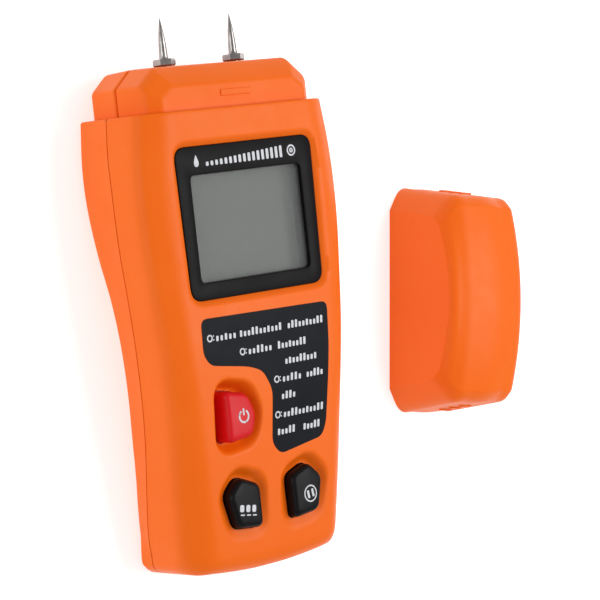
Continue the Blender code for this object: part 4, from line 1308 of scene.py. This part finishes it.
@dataclass
class Key:
    """Push key with a domed top; every height is a share of its outline's radius at each angle."""

    side: str
    body: Body
    slot: str
    foot_z: float = 21.3
    lip: float = 0.8
    proud: float = 1.36
    roll: float = 1.3
    crown: float = 0.2
    roll_power: int = 14
    sides: int = 96

    def __post_init__(self) -> None:
        """Work out the middle, the top height and the outline as radius against angle."""
        corners = key_outline(self.side)
        self.middle = corners.mean(axis=0)
        self.top_z = float(along(FACE_Z_AT, corners[:, 1]).max()) - 0.5 + self.proud
        self.angles = np.linspace(-math.pi, math.pi, self.sides, endpoint=False)
        self.body_radius = self._radius(soften(corners, 1.7, 8))
        self.lip_radius = self._radius(soften(grow(corners, self.lip), 2.5, 8))

    def _radius(self, outline: np.ndarray) -> np.ndarray:
        """Radius of an outline at the key's angles.

        For each angle it is the farthest crossing of a ray from the key's middle with the sides.

        Args:
            outline: Closed outline round the middle.

        Returns:
            One radius for each angle.
        """
        start = outline - self.middle
        side = np.roll(start, -1, axis=0) - start
        way = np.stack((np.cos(self.angles), np.sin(self.angles)), axis=1)
        cross = way[:, None, 0] * side[None, :, 1] - way[:, None, 1] * side[None, :, 0]
        cross = np.where(np.abs(cross) < TINY, TINY, cross)
        far = (start[None, :, 0] * side[None, :, 1] - start[None, :, 1] * side[None, :, 0]) / cross
        t = (start[None, :, 0] * way[:, None, 1] - start[None, :, 1] * way[:, None, 0]) / cross
        return np.where((t >= -1e-6) & (t <= 1 + 1e-6) & (far > 0), far, -np.inf).max(axis=1)

    def height(self, x: np.ndarray, y: np.ndarray) -> np.ndarray:
        """Height of the top: the peak less a shallow crown and a steep roll-off at the rim.

        The crown grows with the square of the point's share of the outline's radius, and the
        roll-off with a high power of it.

        Args:
            x: Places across the meter.
            y: Places along the meter.

        Returns:
            Heights at those places.
        """
        away = np.stack((x - self.middle[0], y - self.middle[1]))
        share = np.hypot(*away) / np.interp(np.arctan2(away[1], away[0]), self.angles, self.body_radius,
                                            period=2 * math.pi)
        return self.top_z - self.crown * share**2 - self.roll * np.clip(share, 0, 1) ** self.roll_power

    def build(self) -> None:
        """Build the key's solid: lip, straight body and domed top."""
        way = np.stack((np.cos(self.angles), np.sin(self.angles)), axis=1)
        shoulder = self.top_z - self.crown - self.roll
        rings = []
        for radius, z in ((self.lip_radius, self.foot_z), (self.lip_radius, self.foot_z + 0.5),
                          (self.body_radius, self.foot_z + 0.52), (self.body_radius, shoulder - 0.5)):
            rings.append(np.column_stack((self.middle + way * radius[:, None], np.full(self.sides, z))))
        for share in np.sin(np.linspace(math.pi / 2, 0.0, 26))[:-1]:
            plan = self.middle + way * (self.body_radius * share)[:, None]
            rings.append(np.column_stack((plan, self.height(plan[:, 0], plan[:, 1]))))
        points, faces = stacked(rings)
        MAKER.piece(f"{self.side}_key_top", points, faces, self.slot, self.body, (f"{self.side}_button",))

    def marks(self) -> None:
        """Print the key's plain symbol."""
        sheet = PrintSheet(self.height)
        if self.side == "power":
            x, y = -10.4, -23.7
            sheet.stroke(x, y, 1.45, 0.48, 122.0, 418.0, 14)
            sheet.bar(x, y + 1.05, 0.5, 1.7)
        elif self.side == "mode":
            x, y = -10.4, -46.2
            for number in range(3):
                sheet.bar(x - 1.9 + 1.9 * number, y - 0.3 * number + 0.3, 1.25, 1.7, -9.0)
                sheet.bar(x - 1.9 + 1.9 * number, y - 0.3 * number - 1.3, 1.25, 0.32, -9.0)
        else:
            x, y = 10.4, -46.2
            for number in (-1, 1):
                sheet.bar(x + 0.75 * number, y + 0.12 * number, 0.7, 2.0, 9.0)
            sheet.stroke(x, y, 1.95, 0.34, 0.0, 360.0, 16)
        sheet.piece(f"{self.side}_key_mark", "label_print", self.body)


# ---------------------------------------------------------------------------------------------
# Cap
# ---------------------------------------------------------------------------------------------


@dataclass
class ProtectiveCap:
    """Cap of the pins: a hollow shell with cut edges and a bowed closed end, standing on its mouth.

    Each level is (height, half width at mouth, half width at corner, corner Y, crown Y).
    """

    mouth_y: float = 50.6
    middle_z: float = 14.25
    levels: tuple[tuple[float, ...], ...] = (
        (0.6, 26.8, 23.9, 67.4, 73.0), (2.6, 29.2, 26.4, 69.6, 75.2), (8.0, 30.0, 27.1, 70.8, 76.6),
        (13.5, 30.4, 27.5, 71.4, 77.2), (19.0, 30.2, 27.3, 70.9, 76.6), (23.6, 29.9, 27.0, 69.9, 75.6),
        (24.6, 29.2, 26.3, 69.4, 75.1), (27.4, 24.9, 22.4, 67.6, 73.5), (27.9, 24.0, 21.6, 66.9, 72.8))
    hollow: tuple[tuple[float, ...], ...] = (
        (1.7, 25.6, 23.2, 66.2, 71.6), (3.4, 27.6, 24.9, 67.9, 73.4), (13.5, 28.6, 25.9, 69.6, 75.5),
        (23.4, 28.2, 25.4, 68.0, 73.9), (26.3, 24.2, 21.6, 65.8, 71.3))
    level_count: int = 40
    corner_run: float = 2.6
    crown_points: int = 15
    corner_radius: float = 2.4
    flat_share: float = 0.985
    stand: tuple[float, float] = (84.0, -7.0)
    turn_deg: float = -8.6
    ribs: tuple[tuple[float, float], ...] = ((7.0, 13.6), (10.6, 13.6), (14.2, 13.6))
    rib_size: tuple[float, float, float] = (0.4, 1.5, 4.0)

    def ring(self, level: tuple[float, ...], mouth: float) -> np.ndarray:
        """Plan of the cap at one height: straight sides and a crown that is a parabola across.

        Args:
            level: Height and the four sizes of a level.
            mouth: Place of the open end.

        Returns:
            One row for each point of the plan.
        """
        z, at_mouth, at_corner, corner, crown = level
        start_x = at_corner - self.corner_run
        start_y = corner + self.corner_run * 0.9
        turn = np.linspace(0.0, math.pi, self.crown_points)
        x = start_x * np.cos(turn)
        bow = np.column_stack((x, crown - (crown - start_y) * (x / start_x) ** 2))
        plan = np.concatenate((((at_corner, corner),), bow, ((-at_corner, corner),)))
        ends = ((at_mouth, mouth),), ((-at_mouth, mouth),)
        round_plan = soften(np.concatenate((ends[0], plan, ends[1])), self.corner_radius, 3)[4:-4]
        plan = np.concatenate((ends[0], round_plan, ends[1]))
        return np.column_stack((plan, np.full(len(plan), z)))

    def fine_rings(self, levels: tuple[tuple[float, ...], ...], mouth: float) -> list[np.ndarray]:
        """Rings at many heights, with every size read smoothly between the levels.

        The end rings are repeated a little smaller at the same height, which keeps the flat faces
        flat where their shading meets the rounded edge.

        Args:
            levels: Rows of height and four sizes.
            mouth: Place of the open end.

        Returns:
            The rings from the lowest to the highest.
        """
        rows = np.array(levels)
        share = np.linspace(0.0, math.pi, self.level_count)
        heights = rows[0, 0] + (rows[-1, 0] - rows[0, 0]) * (1 - np.cos(share)) / 2
        sizes = [along(tuple(zip(rows[:, 0], rows[:, k])), heights) for k in range(1, 5)]
        rings = [self.ring(level, mouth) for level in zip(heights, *sizes)]
        middle = np.array((0.0, mouth, 0.0))
        shrink = np.array((self.flat_share, self.flat_share, 1.0))
        return [(rings[0] - middle) * shrink + middle, *rings, (rings[-1] - middle) * shrink + middle]

    def placed(self, points: np.ndarray) -> np.ndarray:
        """Stand points of the fitted cap on the mouth beside the meter.

        The width goes to minus Y, the depth to minus X and the length up, and then the cap turns
        about the vertical and moves to its place.

        Args:
            points: Points of the cap as it sits on the nose.

        Returns:
            The same points beside the meter.
        """
        local = points - (0.0, self.mouth_y, self.middle_z)
        upright = np.stack((-local[:, 2], -local[:, 0], local[:, 1]), axis=1)
        spin = np.array(Matrix.Rotation(math.radians(self.turn_deg), 3, "Z"))
        return upright @ spin.T + (*self.stand, 0.0)

    def build(self) -> None:
        """Build the hollow shell and its grip ribs."""
        outer, faces = stacked(self.fine_rings(self.levels, self.mouth_y))
        shell = MAKER.piece("cap_shell", self.placed(outer), faces, "orange_abs", Body.CAP,
                            ("protective_cap",))
        inner, inner_faces = stacked([self.ring(level, self.mouth_y - 6.0) for level in self.hollow])
        tool = MAKER.piece("cap_hollow_tool", self.placed(inner), inner_faces, "orange_abs", Body.CAP)
        step = shell.modifiers.new("hollow", "BOOLEAN")
        step.operation = "DIFFERENCE"
        step.solver = "EXACT"
        step.object = tool
        MAKER.bake(shell)
        bpy.data.objects.remove(tool, do_unlink=True)
        MAKER.ease_edges(shell, 0.22, 50.0)
        MAKER.smooth(shell.data)
        self.grip()

    def grip(self) -> None:
        """Three short ribs on each narrow side."""
        proud, deep, long = self.rib_size
        at_mouth, at_corner, corner = self.levels[3][1:4]
        for side, name in ((-1, "low"), (1, "high")):
            for number, (up, z) in enumerate(self.ribs):
                x = side * (at_mouth + (at_corner - at_mouth) * up / (corner - self.mouth_y))
                y = self.mouth_y + up
                points, faces = block((x - proud, x + proud), (y - deep / 2, y + deep / 2),
                                      (z - long / 2, z + long / 2))
                MAKER.piece(f"cap_rib_{name}_{number + 1}", self.placed(points), faces, "orange_abs",
                            Body.CAP, bevel=0.3)


# ---------------------------------------------------------------------------------------------
# Electrodes and the inside
# ---------------------------------------------------------------------------------------------


@dataclass
class Electrodes:
    """Pins with long ground points, and the nuts that hold them."""

    x: float = 11.2
    z: float = 14.2
    profile: tuple[tuple[float, float], ...] = (
        (49.6, 1.3), (49.9, 1.5), (63.2, 1.5), (63.4, 1.15), (64.0, 1.05), (65.0, 1.02), (66.5, 0.95),
        (68.0, 0.83), (69.4, 0.68), (70.8, 0.48), (72.0, 0.28), (72.9, 0.12), (73.3, 0.04))

    def build(self) -> None:
        """Build both pins and both nuts."""
        for name, x in (("left", -self.x), ("right", self.x)):
            points, faces = revolve(np.array(self.profile), 48, x, self.z)
            MAKER.piece(f"pin_{name}", points, faces, "nickel", Body.HOUSING, (f"electrode_pin_{name}",))
            MAKER.softened(f"pin_nut_{name}", Body.HOUSING, "nickel", 0.12)


@dataclass
class Inside:
    """Carried-over nodes: each keeps its shape and gets the finish of its slot."""

    eased: tuple[tuple[str, Body, float], ...] = (
        ("battery_cover", Body.DOOR, 0.25), ("battery", Body.HOUSING, 0.3),
        ("battery_snap_connector", Body.HOUSING, 0.25), ("calibration_trimmer", Body.HOUSING, 0.15))

    def build(self) -> None:
        """Dress every node, and ease the edges of the ones that show in the open bay."""
        for entry in frame["record"]["subparts"]:
            node = frame["nodes"][entry["node"]]
            material = FINISHES[entry["material_slot"]].material()
            for place in node.material_slots:
                place.material = material
            node.data.polygons.foreach_set("material_index", np.zeros(len(node.data.polygons), int))
        slots = {entry["node"]: entry["material_slot"] for entry in frame["record"]["subparts"]}
        for node, body, bevel in self.eased:
            MAKER.softened(node, body, slots[node], bevel)


# ---------------------------------------------------------------------------------------------
# Studio
# ---------------------------------------------------------------------------------------------


@dataclass
class Studio:
    """Pale floor, soft lights and the camera."""

    floor_half: float = 1500.0
    floor_z: float = -0.3
    camera_at: tuple[float, float, float] = (-403.77, 42.24, 477.31)
    right: tuple[float, float, float] = (0.72488, -0.10786, 0.68044)
    up: tuple[float, float, float] = (0.12413, 0.99195, 0.02500)
    lens: float = 150.32
    sensor: float = 36.0
    lights: tuple[tuple[str, tuple[float, float, float], float, float], ...] = (
        ("top_light", (300.0, 20.0, 600.0), 420.0, 2.7),
        ("left_light", (-620.0, 60.0, 210.0), 300.0, 0.85))

    def build(self) -> None:
        """Build the floor, the lights, the world and the camera."""
        half, z = self.floor_half, self.floor_z
        points = np.array(((-half, -half, z), (half, -half, z), (half, half, z), (-half, half, z)))
        mesh = bpy.data.meshes.new("floor")
        mesh.from_pydata((points * MM).tolist(), [], [(0, 1, 2, 3)])
        floor = bpy.data.objects.new("floor", mesh)
        bpy.context.scene.collection.objects.link(floor)
        mesh.materials.append(PALE_FLOOR.material())
        for name, spot, size, power in self.lights:
            self.area_light(name, np.array(spot), size, power)
        self.world()
        self.camera()

    @staticmethod
    def area_light(name: str, spot: np.ndarray, size: float, power: float) -> None:
        """Square soft light that faces the meter.

        Args:
            name: Name of the light.
            spot: Its place in millimetres.
            size: Side of the square in millimetres.
            power: Power in watts.
        """
        data = bpy.data.lights.new(name, "AREA")
        data.size = size * MM
        data.energy = power
        light = bpy.data.objects.new(name, data)
        bpy.context.scene.collection.objects.link(light)
        back = spot / np.linalg.norm(spot)
        right = np.cross((0.0, 0.0, 1.0), back)
        right /= np.linalg.norm(right)
        turn = np.identity(4)
        turn[:3, :3] = np.stack((right, np.cross(back, right), back), axis=1)
        turn[:3, 3] = spot * MM
        light.matrix_world = Matrix(turn.tolist())

    @staticmethod
    def world() -> None:
        """Even white surroundings."""
        world = bpy.data.worlds.new("studio")
        world.use_nodes = True
        sky = world.node_tree.nodes["Background"]
        sky.inputs["Color"].default_value = (1.0, 1.0, 1.0, 1.0)
        sky.inputs["Strength"].default_value = 0.5
        bpy.context.scene.world = world

    def camera(self) -> None:
        """Camera that looks down on the meter from its left."""
        data = bpy.data.cameras.new("camera")
        data.lens = self.lens
        data.sensor_width = self.sensor
        data.clip_start = 0.01
        data.clip_end = 10.0
        camera = bpy.data.objects.new("camera", data)
        bpy.context.scene.collection.objects.link(camera)
        right, up = np.array(self.right), np.array(self.up)
        turn = np.identity(4)
        turn[:3, :3] = np.stack((right, up, np.cross(right, up)), axis=1)
        turn[:3, 3] = np.array(self.camera_at) * MM
        camera.matrix_world = Matrix(turn.tolist())
        bpy.context.scene.camera = camera


def write_size() -> None:
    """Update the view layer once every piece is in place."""
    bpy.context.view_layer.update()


def main() -> None:
    """Build every sub-assembly in order."""
    logging.basicConfig(level=logging.INFO, format="%(message)s")
    bpy.context.scene.view_settings.view_transform = "Standard"
    Inside().build()
    FrontCase().build()
    RearCase().build()
    Display().build()
    Label().build()
    for side, body, slot in (("power", Body.POWER, "red_rubber"), ("mode", Body.MODE, "black_rubber"),
                             ("hold", Body.HOLD, "black_rubber")):
        key = Key(side, body, slot)
        key.build()
        key.marks()
    ProtectiveCap().build()
    Electrodes().build()
    Studio().build()
    write_size()


if __name__ == "__main__":
    main()
